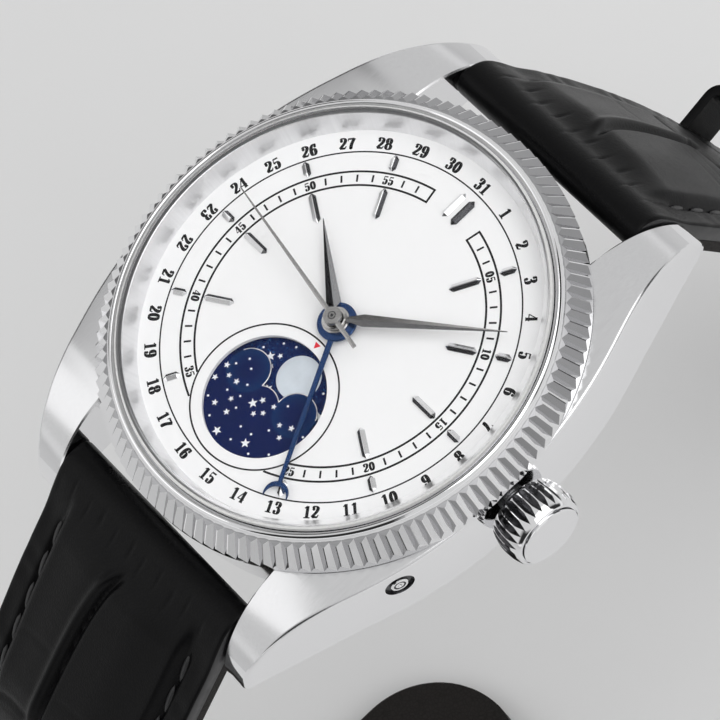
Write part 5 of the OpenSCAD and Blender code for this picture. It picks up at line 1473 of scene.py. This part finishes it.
class WATCH_OT_hands(bpy.types.Operator):
    """Build the four hands, the date hand with its crescent"""

    bl_idname = "watch.hands"
    bl_label = "Hands"

    def execute(self, context):
        s = Sizes(context.scene.watch_hands)
        z = low("hour_hand").z
        hour = dauphine("hour_hand_dauphine", z, HOUR_ANGLE, s.hour_l, s.hour_w, 1.15, 0.60)
        placed(hour, "hours", "hand_steel", "hour_hand", kind="hour_hand_steel", smooth=22)
        z = low("minute_hand").z
        minute = dauphine("minute_hand_dauphine", z, MINUTE_ANGLE, s.minute_l, s.minute_w, 0.95, 0.30)
        placed(minute, "minutes", "hand_steel", "minute_hand", kind="minute_hand_steel", smooth=22)
        placed(seconds_hand(s), "seconds", "hand_steel", "seconds_hand", smooth=25)
        placed(date_hand(s), "date", "blued_steel", "date_hand", kind="blued_steel", smooth=25)
        return {"FINISHED"}


# Crown and corrector
def crown_profile(s):
    """The crown's profile as (distance, radius, depth of flute, flute's share of the pitch) points."""
    body = []
    for t in np.linspace(0.0, 1.0, 15):
        radius = s.radius * (0.86 + 0.14 * math.sin(math.pi * (0.10 + 0.74 * t)))
        cut = float(np.clip(t / 0.12, 0, 1) * np.clip((0.93 - t) / 0.30, 0, 1)) ** 0.8
        body.append((s.start + t * (s.end - s.start), radius, s.flute_depth * cut, cut))
    shoulder_r = s.disc_r + 0.12
    last_r = body[-1][1]
    socket = [(s.socket_end, 0.0), (s.socket_end, s.socket_r), (s.start, s.socket_r), (s.start, 2.7)]
    face = [(s.end + 0.10, last_r - 0.06), (s.end + 0.15, last_r - 0.16), (s.end + 0.15, shoulder_r),
            (s.end, s.disc_r + 0.08), (s.end, s.disc_r), (s.end + 0.30, s.disc_r - 0.02),
            (s.end + 0.35, s.disc_r - 0.10), (s.end + 0.35, 0.0)]
    plain = (0.0, 1.0)
    return [(x, r, *plain) for x, r in socket] + body + [(x, r, *plain) for x, r in face]


def crown_sector(s):
    """One flute of the crown, from ridge to ridge."""
    ridge = 0.88
    rows = []
    for share in (-1.0, -ridge, -0.44, 0.0, 0.44, ridge, 1.0):
        row = []
        for x, r, deepest, open_share in crown_profile(s):
            turn = share if abs(share) == 1.0 else share * open_share
            r -= deepest * max(0.0, 1 - abs(share) / ridge)
            a = turn * math.pi / s.flute_count
            row.append((x, r * math.sin(a), s.height + r * math.cos(a)))
        rows.append(row)
    return Shape().grid(rows).make("crown_fluted")


def fluted_crown(s):
    """The whole crown, with one slope of each flute painted dark as painted shade."""
    crown = crown_sector(s)
    generated(crown, "Repeat Round Axis", repeat_tree, Count=s.flute_count, Axis=(1.0, 0.0, 0.0),
              Pivot=(0.0, 0.0, s.height * MM), Finish=finish("polished_steel"))
    tidy(crown.data)
    painted(crown, "polished_steel", "dark_steel")

    # Painted shade on one slope of each flute
    def dark(c, n):
        out = math.hypot(c.y, c.z - s.height)
        leaning = (n.z * c.y - n.y * (c.z - s.height)) / max(out, 0.01)
        return s.start + 0.1 < c.x < s.end and out > 2.45 and leaning < -0.25

    return finish_where(crown, 1, dark)


def corrector_button():
    """The button in the flank, with painted shade in the ring groove and the hollow middle of its face."""
    button = [(0, -4.1), (0.95, -4.1), (0.95, -3.6), (0.75, -3.6), (0.75, -0.06), (0.69, 0.0), (0.52, 0.0),
              (0.48, -0.06), (0.40, -0.06), (0.36, -0.01), (0.16, 0.0), (0.12, -0.08), (0, -0.1)]
    made = Shape().lathe(button, 48, axis_frame(CORRECTOR_AT, CORRECTOR_AXIS)).make("corrector_steel")
    painted(made, "polished_steel", "dark_steel")
    # Painted shade in the ring groove and the middle
    return finish_where(made, 1, lambda c, n: 0.37 < from_corrector(c) < 0.51 or from_corrector(c) < 0.12)


class WATCH_OT_crown(bpy.types.Operator):
    """Build the fluted crown and the corrector button"""

    bl_idname = "watch.crown"
    bl_label = "Crown and Corrector"

    def execute(self, context):
        s = Sizes(context.scene.watch_crown)
        placed(fluted_crown(s), "crown", "polished_steel", "crown", smooth=24)
        placed(corrector_button(), "corrector", "polished_steel", "corrector_button", smooth=25)
        return {"FINISHED"}


# Strap
class Route:
    """A strap half's line in the side view: its place, heading and normal at a distance from the bar."""

    def __init__(self, s, side, legs, narrow_z):
        self.side = side
        self.narrow_z = narrow_z
        ends = np.cumsum([0.0] + [leg[0] for leg in legs])
        self.length = float(ends[-1])
        headings = [legs[0][1]] + [leg[2] for leg in legs]
        self.s = np.linspace(0.0, self.length, 4000)
        self.h = np.radians(np.interp(self.s, ends, headings))
        ds = self.s[1] - self.s[0]
        mid = (self.h[1:] + self.h[:-1]) / 2
        self.y = s.bar_y + np.concatenate([[0], np.cumsum(np.cos(mid) * ds)])
        self.z = s.bar_z - np.concatenate([[0], np.cumsum(np.sin(mid) * ds)])

    def place(self, x, along, lift):
        """Points at distances across, along and above the line."""
        x, along, lift = np.broadcast_arrays(x, along, lift)
        on = np.clip(along, 0.0, self.length)
        past = along - on
        h = np.interp(on, self.s, self.h)
        y = np.interp(on, self.s, self.y) + past * np.cos(h) + lift * np.sin(h)
        z = np.interp(on, self.s, self.z) - past * np.sin(h) + lift * np.cos(h)
        return np.stack([x, self.side * y, z], -1)

    def middle(self, along):
        """The place on the line at one distance."""
        return self.place(0.0, np.array(float(along)), 0.0)

    def normal(self, along):
        """Directions out of the strap."""
        h = np.interp(np.clip(along, 0, self.length), self.s, self.h)
        return np.stack([0 * h, self.side * np.sin(h), np.cos(h)], -1)

    def frame(self, along):
        """Matrix of a piece on the strap: X across, Y along and Z out of it."""
        m = np.eye(4)
        h = float(np.interp(along, self.s, self.h))
        m[:3, 1] = (0, self.side * math.cos(h), -math.sin(h))
        m[:3, 2] = (0, self.side * math.sin(h), math.cos(h))
        m[:3, 3] = self.middle(along)
        return m


def arc_length(radius, turn):
    """Length of an arc over an angle in degrees."""
    return radius * math.radians(turn)


# Legs of a strap half: length, heading at its start and at its end, in degrees below level
LEGS_6 = [(17.0, 38.0, 38.0), (arc_length(18.0, 52), 38.0, 90.0), (35.547, 90.0, 90.0),
          (arc_length(9.0, 90), 90.0, 180.0), (24.0, 180.0, 180.0)]
# Radius of the loop round the buckle's bar, and of the bores for the bars
LOOP_R = 1.75
BORE_R = 0.8
# Length of a tile of the embossed leather, and distance of the first one from the spring bar
TILE_L = 7.4
TILES_FROM = 20.0


def route_12(s):
    """The half at twelve, which ends round the buckle's bar."""
    return Route(s, 1, [(60.0, 62.0, 86.0)], -32.96)


def route_6(s):
    """The half at six, which curls round under the watch and has the holes."""
    return Route(s, -1, LEGS_6, -32.75)


def half_width(s, route, along):
    """Half of the strap's width, with its taper and the tail's round end."""
    at = route.place(0.0, along, 0.0)
    wide_z = s.bar_z - 6.0
    share = np.clip((wide_z - at[..., 2]) / (wide_z - route.narrow_z), 0.0, 1.0)
    width = s.half_w + (s.end_half_w - s.half_w) * share
    if route.side < 0:
        centre_y = abs(route.middle(route.length)[1]) + s.end_half_w
        reach = np.clip(centre_y - np.abs(at[..., 1]), 0.0, s.end_half_w)
        round_end = np.sqrt(np.maximum(s.end_half_w ** 2 - reach ** 2, 0.0004))
        width = np.where(along > route.length - LEGS_6[-1][0], np.minimum(width, round_end), width)
    return width


def thickness(s, route, along):
    """Thickness of the upper without its reliefs."""
    return s.upper_t + (s.end_t - s.upper_t) * np.clip(along / route.length, 0, 1)


def arch(value, reach, height):
    """Height of a round arch at a distance from its middle, and 0 beyond its reach."""
    return height * np.sqrt(np.maximum(1.0 - (value / reach) ** 2, 0.0))


SIDE_COLUMNS = (0, 0.03, 0.10, 0.20, 0.35, 0.6, 0.9, 1.2, 1.5, 1.75, 1.95, 2.1, 2.22, 2.35, 2.48, 2.6, 2.75,
                2.95, 3.2, 3.5, 3.9)


def columns(width, count):
    """Places across the strap, close together at its sides, and each one's distance from the side."""
    scale = np.minimum(1.0, width / 6.0)[:, None]
    sides = np.array(SIDE_COLUMNS)[None, :] * scale
    left = -width[:, None] + sides
    inner = np.linspace(-1, 1, count + 2)[1:-1][None, :] * (width[:, None] - sides[:, -1:])
    x = np.concatenate([left, inner, -left[:, ::-1]], 1)
    return x, width[:, None] - np.abs(x)


def relief(route, along, x, e, amount):
    """Depth of the embossed tiles and creases inside the seams."""
    inside = step((e - 2.75) / 0.6)
    middle = -1.9 + 2.5 * np.exp(-np.maximum(along - 1.0, 0.0) / 4.0)
    near = step((along - 1.5) / 2.0) * (1 - step((along - TILES_FROM) / 2.0))
    depth = 0.55 * bump_at(x, middle + 0.25, 0.32) * near
    depth -= 0.26 * bump_at(x, middle - 0.55, 0.42) * near
    for number, start in enumerate(np.arange(TILES_FROM, route.length - 6, TILE_L)):
        bend = start + 0.7 * np.sin(x * 0.33 + number * 1.7) + 0.02 * x * x * (-1) ** number
        for shift, deep, width in ((0.0, 0.26, 0.34), (0.75, 0.08, 0.24), (-0.7, 0.07, 0.24)):
            depth += deep * bump_at(along, bend + shift, width)
        cross = 3.0 * math.sin(number * 2.3 + 0.6) + 0.3 * np.sin(along * 0.6)
        span = step((along - start) / 1.5) * (1 - step((along - start - 5.9) / 1.5))
        depth += (0.22 * bump_at(x, cross, 0.30) - 0.10 * bump_at(x, cross - 0.6, 0.40)) * span
    for start, side in ((15.5, 1), (17.6, 1), (13.0, -1), (18.4, -1)):
        bend = start + 0.05 * (x - side * 3) ** 2
        depth += 0.05 * bump_at(along, bend, 0.22) * step((side * (x - middle) - 0.4) / 1.5)
    return depth * inside * np.clip(amount, 0.4, 1.0)


def pleats(route, along, x):
    """Small creases across the roll at the spring bar."""
    pitch = 1.85
    share = np.abs((x / pitch + 0.08 * np.sin(x * 2.1)) % 1.0 - 0.5) * pitch
    deep = 0.11 if route.side > 0 else 0.06
    return deep * bump_at(share, 0.0, 0.15) * bump_at(along, 0.6 + 0.3 * np.sin(x * 1.7), 1.0)


def upper_top(s, route, along, x, e):
    """Height of the upper's outer face above the strap's line."""
    flat_t = thickness(s, route, along)
    border = np.minimum(1.55, flat_t)
    rise = np.maximum(flat_t - border, 0.0)
    crown = 0.62 * step((e - 2.45) / 0.9) + 0.38 * step((e - 3.0) / 5.5)
    top = border + rise * crown
    top = top - relief(route, along, x, e, rise / 1.3)
    top = top - 0.34 * bump_at(e, s.seam_in, 0.26) * step((along - 3.0) / 1.5)
    top = top - 0.05 * (1 + np.sin(along * 1.9 + np.sin(along * 0.7) * 2)) * bump_at(e, 1.1, 0.8)
    roll = arch(np.minimum(along, 0.0), s.roll_in, s.roll_r)
    blend = step(along / 4.5)
    top = roll * (1 - blend) + top * blend - np.minimum(pleats(route, along, x), roll * 0.2)
    if route.side > 0:
        loop = arch(along - route.length, LOOP_R, LOOP_R)
        top = np.where(along > route.length, loop, np.maximum(top, loop))
    edge_r = 0.32
    drop = edge_r - arch(edge_r - np.minimum(e, edge_r), edge_r, edge_r)
    return top - np.minimum(drop, np.maximum(top, 0) * 0.3)


def with_tail(s, route, along):
    """The distances with closer ones at the tail's round end."""
    tail = route.length - s.end_half_w * (1 - np.cos(np.linspace(0.35, 0.0, 10)))
    return np.concatenate([along[along < tail[0] - 0.1], tail])


def strap_upper(s, route, name):
    """The padded upper with its roll at the spring bar."""
    start = -s.roll_in * np.cos(np.linspace(0, math.pi / 2, 16))[:-1]
    if route.side < 0:
        body = with_tail(s, route, np.arange(0.0, route.length, 0.3))
    else:
        loop = route.length - LOOP_R * np.cos(np.linspace(0, math.pi, 19))
        body = np.concatenate([np.arange(0.0, route.length - LOOP_R, 0.3), loop])
    along = np.concatenate([start, body])
    width = half_width(s, route, along)
    x, e = columns(width, 104)
    a = along[:, None] + 0 * x
    top = upper_top(s, route, a, x, e)
    under = -arch(along, np.where(along < 0, s.roll_in, s.roll_r), s.roll_r)
    if route.side > 0:
        under = np.minimum(under, -arch(along - route.length, LOOP_R, LOOP_R))
    a, under = along[:, None], under[:, None]
    side_lift = np.where(top[:, :1] - under > 0.2, under + 0.12, under)
    sides = route.place(np.stack([width, -width], 1), a, side_lift)
    lower = route.place(np.stack([width - 0.12, -width + 0.12], 1), a, under)
    rows = np.concatenate([route.place(x, a, top), sides[:, :1], lower, sides[:, 1:]], 1)
    return Shape().grid(rows, around=True, caps=True).make(name)


def strap_lining(s, route, name):
    """The lining from the roll to the strap's end."""
    along = np.arange(s.roll_r + 0.02, route.length, 0.5)
    if route.side < 0:
        along = with_tail(s, route, along)
    else:
        stop = route.length - LOOP_R - 0.03
        along = np.concatenate([along[along < stop - 0.3], [stop]])
    low_along = along.copy()
    low_along[0] = math.sqrt(s.roll_r ** 2 - s.lining_t ** 2) + 0.02
    if route.side > 0:
        low_along[-1] = route.length - math.sqrt(LOOP_R ** 2 - s.lining_t ** 2) - 0.02
    width = np.maximum(half_width(s, route, along) - 0.1, 0.02)
    b = 0.2
    shares = ((1, -0.01, along), (1, -s.lining_t + b, low_along), (0, -s.lining_t, low_along))
    right = [route.place(width - (1 - k) * b, at, lift) for k, lift, at in shares]
    left = [route.place(-width + (1 - k) * b, at, lift) for k, lift, at in shares][::-1]
    return Shape().grid(np.stack(right + left, 1), around=True, caps=True).make(name)


def stitch_lines(s, route, name, start, stop):
    """Stitches along two lines in the strap's grooves, which carry the direction that they stand in."""
    along = np.arange(start, stop, 0.4)
    width = half_width(s, route, along)
    points, edges = [], []
    for side in (-1, 1):
        x = side * (width - s.seam_in)
        top = upper_top(s, route, along, x, np.full_like(along, s.seam_in))
        first = len(points)
        points += [tuple(p * MM) for p in route.place(x, along, top + 0.13)]
        edges += [(i, i + 1) for i in range(first, len(points) - 1)]
    mesh = bpy.data.meshes.new(name)
    mesh.from_pydata(points, edges, [])
    lie = mesh.attributes.new("lie", "FLOAT_VECTOR", "POINT")
    lie.data.foreach_set("vector", np.tile(route.normal(along), (2, 1)).astype(np.float32).ravel())
    made = bpy.data.objects.new(name, mesh)
    bpy.context.scene.collection.objects.link(made)
    return generated(made, "Stitches", stitch_tree, Pitch=s.stitch_pitch * MM, Length=s.stitch_l * MM,
                     Width=s.stitch_w * MM, Finish=finish("thread"))


def moved(points, m):
    """Points placed by a matrix."""
    return np.asarray(points, float) @ m[:3, :3].T + m[:3, 3]


def slotted(obj, m):
    """Cuts the opening for the buckle's tongue through a piece of the strap's end."""
    slot = Shape().plate([(-1.3, -5.0), (1.3, -5.0), (1.3, 3.5), (-1.3, 3.5)], -3.5, 3.5)
    slot.points = [tuple(p) for p in moved(slot.points, m)]
    return combined(obj, slot.make("slot"), "DIFFERENCE")


def punched(obj, route):
    """Cuts the six holes for the buckle's tongue into the hanging part of the strap."""
    drop = route.middle(LEGS_6[0][0] + LEGS_6[1][0])
    holes = Shape()
    for number in range(6):
        at = (0, drop[1], drop[2] - 4.0 - 6.0 * number)
        holes.lathe(rod_profile(1.0, -6.0, 6.0), 40, axis_frame(at, (0, 1, 0)))
    return combined(obj, holes.make("holes"), "DIFFERENCE")


def keeper(s, route, along, name):
    """A leather loop with rounded corners and edges."""
    half_in, low_z, high_z = 9.55, -1.4, thickness(s, route, along) + 3.5
    wall, half_l, corner = 1.0, 2.5, 0.9
    middle_z, half_h = (low_z + high_z) / 2, (high_z - low_z) / 2
    section = [(0.0, -half_l), (0.0, half_l), (wall - 0.3, half_l), (wall - 0.08, half_l - 0.1),
               (wall, half_l - 0.35), (wall, 0.0), (wall, -half_l + 0.35), (wall - 0.08, -half_l + 0.1),
               (wall - 0.3, -half_l)]
    rows = []
    for cx, cz, first in ((1, 1, 0), (-1, 1, 90), (-1, -1, 180), (1, -1, 270)):
        x, z = cx * (half_in - corner), middle_z + cz * (half_h - corner)
        for a in np.radians(np.linspace(first, first + 90, 8)):
            rows.append([(x + (corner + out) * math.cos(a), y, z + (corner + out) * math.sin(a))
                         for out, y in section])
    return Shape().grid(moved(rows, route.frame(along)), around=True, along=True).make(name)


# Direction of the bars
ACROSS = (1, 0, 0)


def strap_half(s, route, body, stitches_to):
    """One half with its upper, lining and stitches."""
    upper = drilled(strap_upper(s, route, body + "_leather"), BORE_R, -14.0, 14.0, route.middle(0), ACROSS)
    lining = strap_lining(s, route, body + "_backing")
    if route.side > 0:
        drilled(upper, BORE_R, -14.0, 14.0, route.middle(route.length), ACROSS)
        at_end = route.frame(route.length)
        slotted(upper, at_end)
        slotted(lining, at_end)
    else:
        punched(upper, route)
        punched(lining, route)
    painted(upper, "black_leather", "edge_paint")
    finish_where(upper, 1, lambda c, n: abs(n.x) > 0.9 and abs(c.x) > 8.5)
    placed(upper, body, "black_leather", body + "_upper", body + "_padding", smooth=50)
    placed(lining, body, "lining_leather", body + "_lining", kind="lining_leather", smooth=40)
    stitches = stitch_lines(s, route, body + "_stitches", 5.0, stitches_to)
    placed(stitches, body, "black_leather", kind="thread", smooth=60)


class WATCH_OT_straps(bpy.types.Operator):
    """Build both strap halves with their linings, stitches and keepers"""

    bl_idname = "watch.straps"
    bl_label = "Strap"

    def execute(self, context):
        s = Sizes(context.scene.watch_strap)
        upper_route = route_12(s)
        strap_half(s, upper_route, "strap_12", 45.0)
        strap_half(s, route_6(s), "strap_6", 88.0)
        for along, name, body, cad in ((49.0, "fixed_loop", "strap_12", "fixed_keeper"),
                                       (34.5, "free_loop", "free_keeper", "free_keeper")):
            loop = keeper(s, upper_route, along, name)
            placed(loop, body, "black_leather", cad, kind="black_leather", smooth=35)
        return {"FINISHED"}


def buckle_path():
    """The frame's middle line, from one end of the bar round to the other."""
    half_w, reach, corner = 10.25, 12.0, 2.0
    path = [(half_w, y) for y in (-1.6, -1.0, 3.0, 8.0)]
    for a in np.linspace(0, math.pi / 2, 10):
        path.append((half_w - corner + corner * math.cos(a), reach - corner + corner * math.sin(a)))
    path += [(4.0, reach), (0.0, reach)]
    return np.array(path + [(-x, y) for x, y in path[::-1][1:]])


def squarish(values):
    """Widens a round section's coordinates towards a square."""
    return np.sign(values) * np.abs(values) ** 0.7


def buckle_frame(m):
    """The frame, with a rounded, squarish section that is broader across its end."""
    p = buckle_path()
    ahead = np.gradient(p, axis=0)
    ahead /= np.linalg.norm(ahead, axis=1, keepdims=True)
    turn = np.arange(20) * 2 * math.pi / 20
    rows = []
    for (x, y), (ax, ay) in zip(p, ahead):
        wide = (0.85 + 0.15 * abs(ax)) * squarish(np.cos(turn))
        rows.append([(x + ay * u, y - ax * u, v) for u, v in zip(wide, squarish(np.sin(turn)))])
    frame_piece = Shape().grid(moved(rows, m), around=True, caps=True).make("buckle_frame_steel")
    return drilled(frame_piece, BORE_R, -13, 13, m[:3, 3], ACROSS)


def buckle_tongue(m):
    """The tongue with its hub on the bar."""
    base = 1.05
    rows = []
    for y, half, thick in ((0.0, 0.9, 0.8), (3.0, 0.9, 0.8), (9.0, 0.82, 0.8), (11.8, 0.7, 0.74),
                           (12.4, 0.52, 0.62), (12.6, 0.25, 0.4)):
        shoulder, top = base + thick * 0.55, base + thick
        rows.append([(-half, y, base), (half, y, base), (half, y, shoulder), (half * 0.6, y, top),
                     (-half * 0.6, y, top), (-half, y, shoulder)])
    tongue = Shape().grid(moved(rows, m), around=True, caps=True).make("buckle_tongue_steel")
    hub = [(0, -0.9), (1.45, -0.9), (1.55, -0.8), (1.55, 0.8), (1.45, 0.9), (0, 0.9)]
    combined(tongue, Shape().lathe(hub, 48, axis_frame(m[:3, 3], ACROSS)).make("hub"), "UNION")
    return drilled(tongue, BORE_R, -3, 3, m[:3, 3], ACROSS)


class WATCH_OT_buckle(bpy.types.Operator):
    """Build the pin buckle's frame and tongue"""

    bl_idname = "watch.buckle"
    bl_label = "Buckle"

    def execute(self, context):
        route = route_12(Sizes(context.scene.watch_strap))
        m = route.frame(route.length)
        steel = "polished_steel"
        placed(buckle_frame(m), "buckle", steel, "buckle_frame", kind=steel, smooth=40)
        placed(buckle_tongue(m), "tongue", steel, "buckle_tongue", kind=steel, smooth=32)
        return {"FINISHED"}


class WATCH_OT_movement(bpy.types.Operator):
    """Give the movement, the case back and the other CAD nodes in view their finishes"""

    bl_idname = "watch.movement"
    bl_label = "Movement and Case Back"

    def execute(self, context):
        for kind, names in NODE_FINISHES.items():
            for name in names:
                painted(NODES[name], kind)
        return {"FINISHED"}


# Stage
# The camera's place in millimetres and its axes, as solved from the photograph
CAMERA_AT = (172.72, -20.95, 318.54)
CAMERA_RIGHT = (0.62858, 0.71915, -0.29616)
CAMERA_DOWN = (0.61353, -0.69253, -0.37945)
CAMERA_AHEAD = (-0.47798, 0.05681, -0.87653)


# Half of the floor's width
FLOOR = 1500


def watch_camera(scene):
    """The camera, where the photograph's stood."""
    camera = bpy.data.cameras.new("camera")
    camera.lens = 225.0
    camera.sensor_width = 36.0
    camera.clip_start = 0.01
    camera.clip_end = 10.0
    holder = bpy.data.objects.new("camera", camera)
    scene.collection.objects.link(holder)
    turn = Matrix((CAMERA_RIGHT, [-v for v in CAMERA_DOWN], [-v for v in CAMERA_AHEAD])).transposed()
    holder.matrix_world = Matrix.Translation([v * MM for v in CAMERA_AT]) @ turn.to_4x4()
    scene.camera = holder


def lamp(scene, name, at, size, power):
    """A square lamp that faces the watch."""
    data = bpy.data.lights.new(name, "AREA")
    data.shape = "SQUARE"
    data.size = size * MM
    data.energy = power
    light = bpy.data.objects.new(name, data)
    scene.collection.objects.link(light)
    light.matrix_world = Matrix(axis_frame(at, at).tolist())
    light.location = [v * MM for v in at]


def studio_world(scene):
    """Bright panels round the watch and overhead, with a pale horizon."""
    world = bpy.data.worlds.new("studio")
    scene.world = world
    world.use_nodes = True
    tree = world.node_tree
    tree.nodes.clear()
    toward = node(tree, "ShaderNodeTexCoord").outputs["Generated"]
    parts = node(tree, "ShaderNodeSeparateXYZ", {0: toward}).outputs
    angle = sums(tree, "ARCTAN2", parts["Y"], parts["X"])
    waves = sums(tree, "SINE", sums(tree, "MULTIPLY_ADD", angle, 3.0, 1.57))
    panels = spread(tree, waves, -0.25, 0.05, 0.04, 1.0)
    overhead = spread(tree, parts["Z"], 0.62, 0.80, 0.0, 1.0)
    lit = sums(tree, "MULTIPLY", sums(tree, "MAXIMUM", panels, overhead), 0.70)
    horizon = spread(tree, parts["Z"], 0.06, 0.14, 1.0, 0.0)
    shade = sums(tree, "MULTIPLY_ADD", sums(tree, "SUBTRACT", 0.90, lit), horizon, lit)
    studio = node(tree, "ShaderNodeBackground", {"Color": (1, 1, 1, 1), "Strength": shade})
    node(tree, "ShaderNodeOutputWorld", {"Surface": studio.outputs[0]})


class WATCH_OT_stage(bpy.types.Operator):
    """Set up the floor, the studio light and the camera"""

    bl_idname = "watch.stage"
    bl_label = "Stage"

    def execute(self, context):
        scene = context.scene
        watch_camera(scene)
        z = min(CAD_BOX[0].z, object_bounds()[0].z) / MM
        rows = [[(x, y, z) for x in (-FLOOR, FLOOR)] for y in (-FLOOR, FLOOR)]
        floor = Shape().grid(rows)
        painted(floor.make("floor"), "floor")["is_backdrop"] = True
        lamp(scene, "key_light", (330, 260, 520), 700, 1.9)
        lamp(scene, "fill_light", (-380, -320, 420), 500, 0.4)
        studio_world(scene)
        scene.view_settings.view_transform = "Standard"
        return {"FINISHED"}


OPERATORS = (WATCH_OT_case, WATCH_OT_bezel, WATCH_OT_dial, WATCH_OT_moon, WATCH_OT_hands, WATCH_OT_crown,
             WATCH_OT_straps, WATCH_OT_buckle, WATCH_OT_movement, WATCH_OT_stage)


class WATCH_PT_pieces(bpy.types.Panel):
    """Sizes, colours and pieces of the watch"""

    bl_idname = "WATCH_PT_pieces"
    bl_label = "Moon Phase Watch"
    bl_space_type = "VIEW_3D"
    bl_region_type = "UI"
    bl_category = "Watch"

    def draw(self, context):
        for operator in OPERATORS:
            self.layout.operator(operator.bl_idname)
        for name in GROUPS:
            group = getattr(context.scene, name)
            box = self.layout.box()
            for key in group.bl_rna.properties.keys():
                if key not in ("rna_type", "name"):
                    box.prop(group, key)


CLASSES = (*GROUPS.values(), *OPERATORS, WATCH_PT_pieces)


def register():
    for item in CLASSES:
        bpy.utils.register_class(item)
    for name, group in GROUPS.items():
        setattr(bpy.types.Scene, name, PointerProperty(type=group))


def unregister():
    for name in GROUPS:
        delattr(bpy.types.Scene, name)
    for item in reversed(CLASSES):
        bpy.utils.unregister_class(item)


def main():
    register()
    bpy.ops.watch.case()
    bpy.ops.watch.bezel()
    bpy.ops.watch.dial()
    bpy.ops.watch.moon()
    bpy.ops.watch.hands()
    bpy.ops.watch.crown()
    bpy.ops.watch.straps()
    bpy.ops.watch.buckle()
    bpy.ops.watch.movement()
    bpy.ops.watch.stage()


if __name__ == "__main__":
    main()
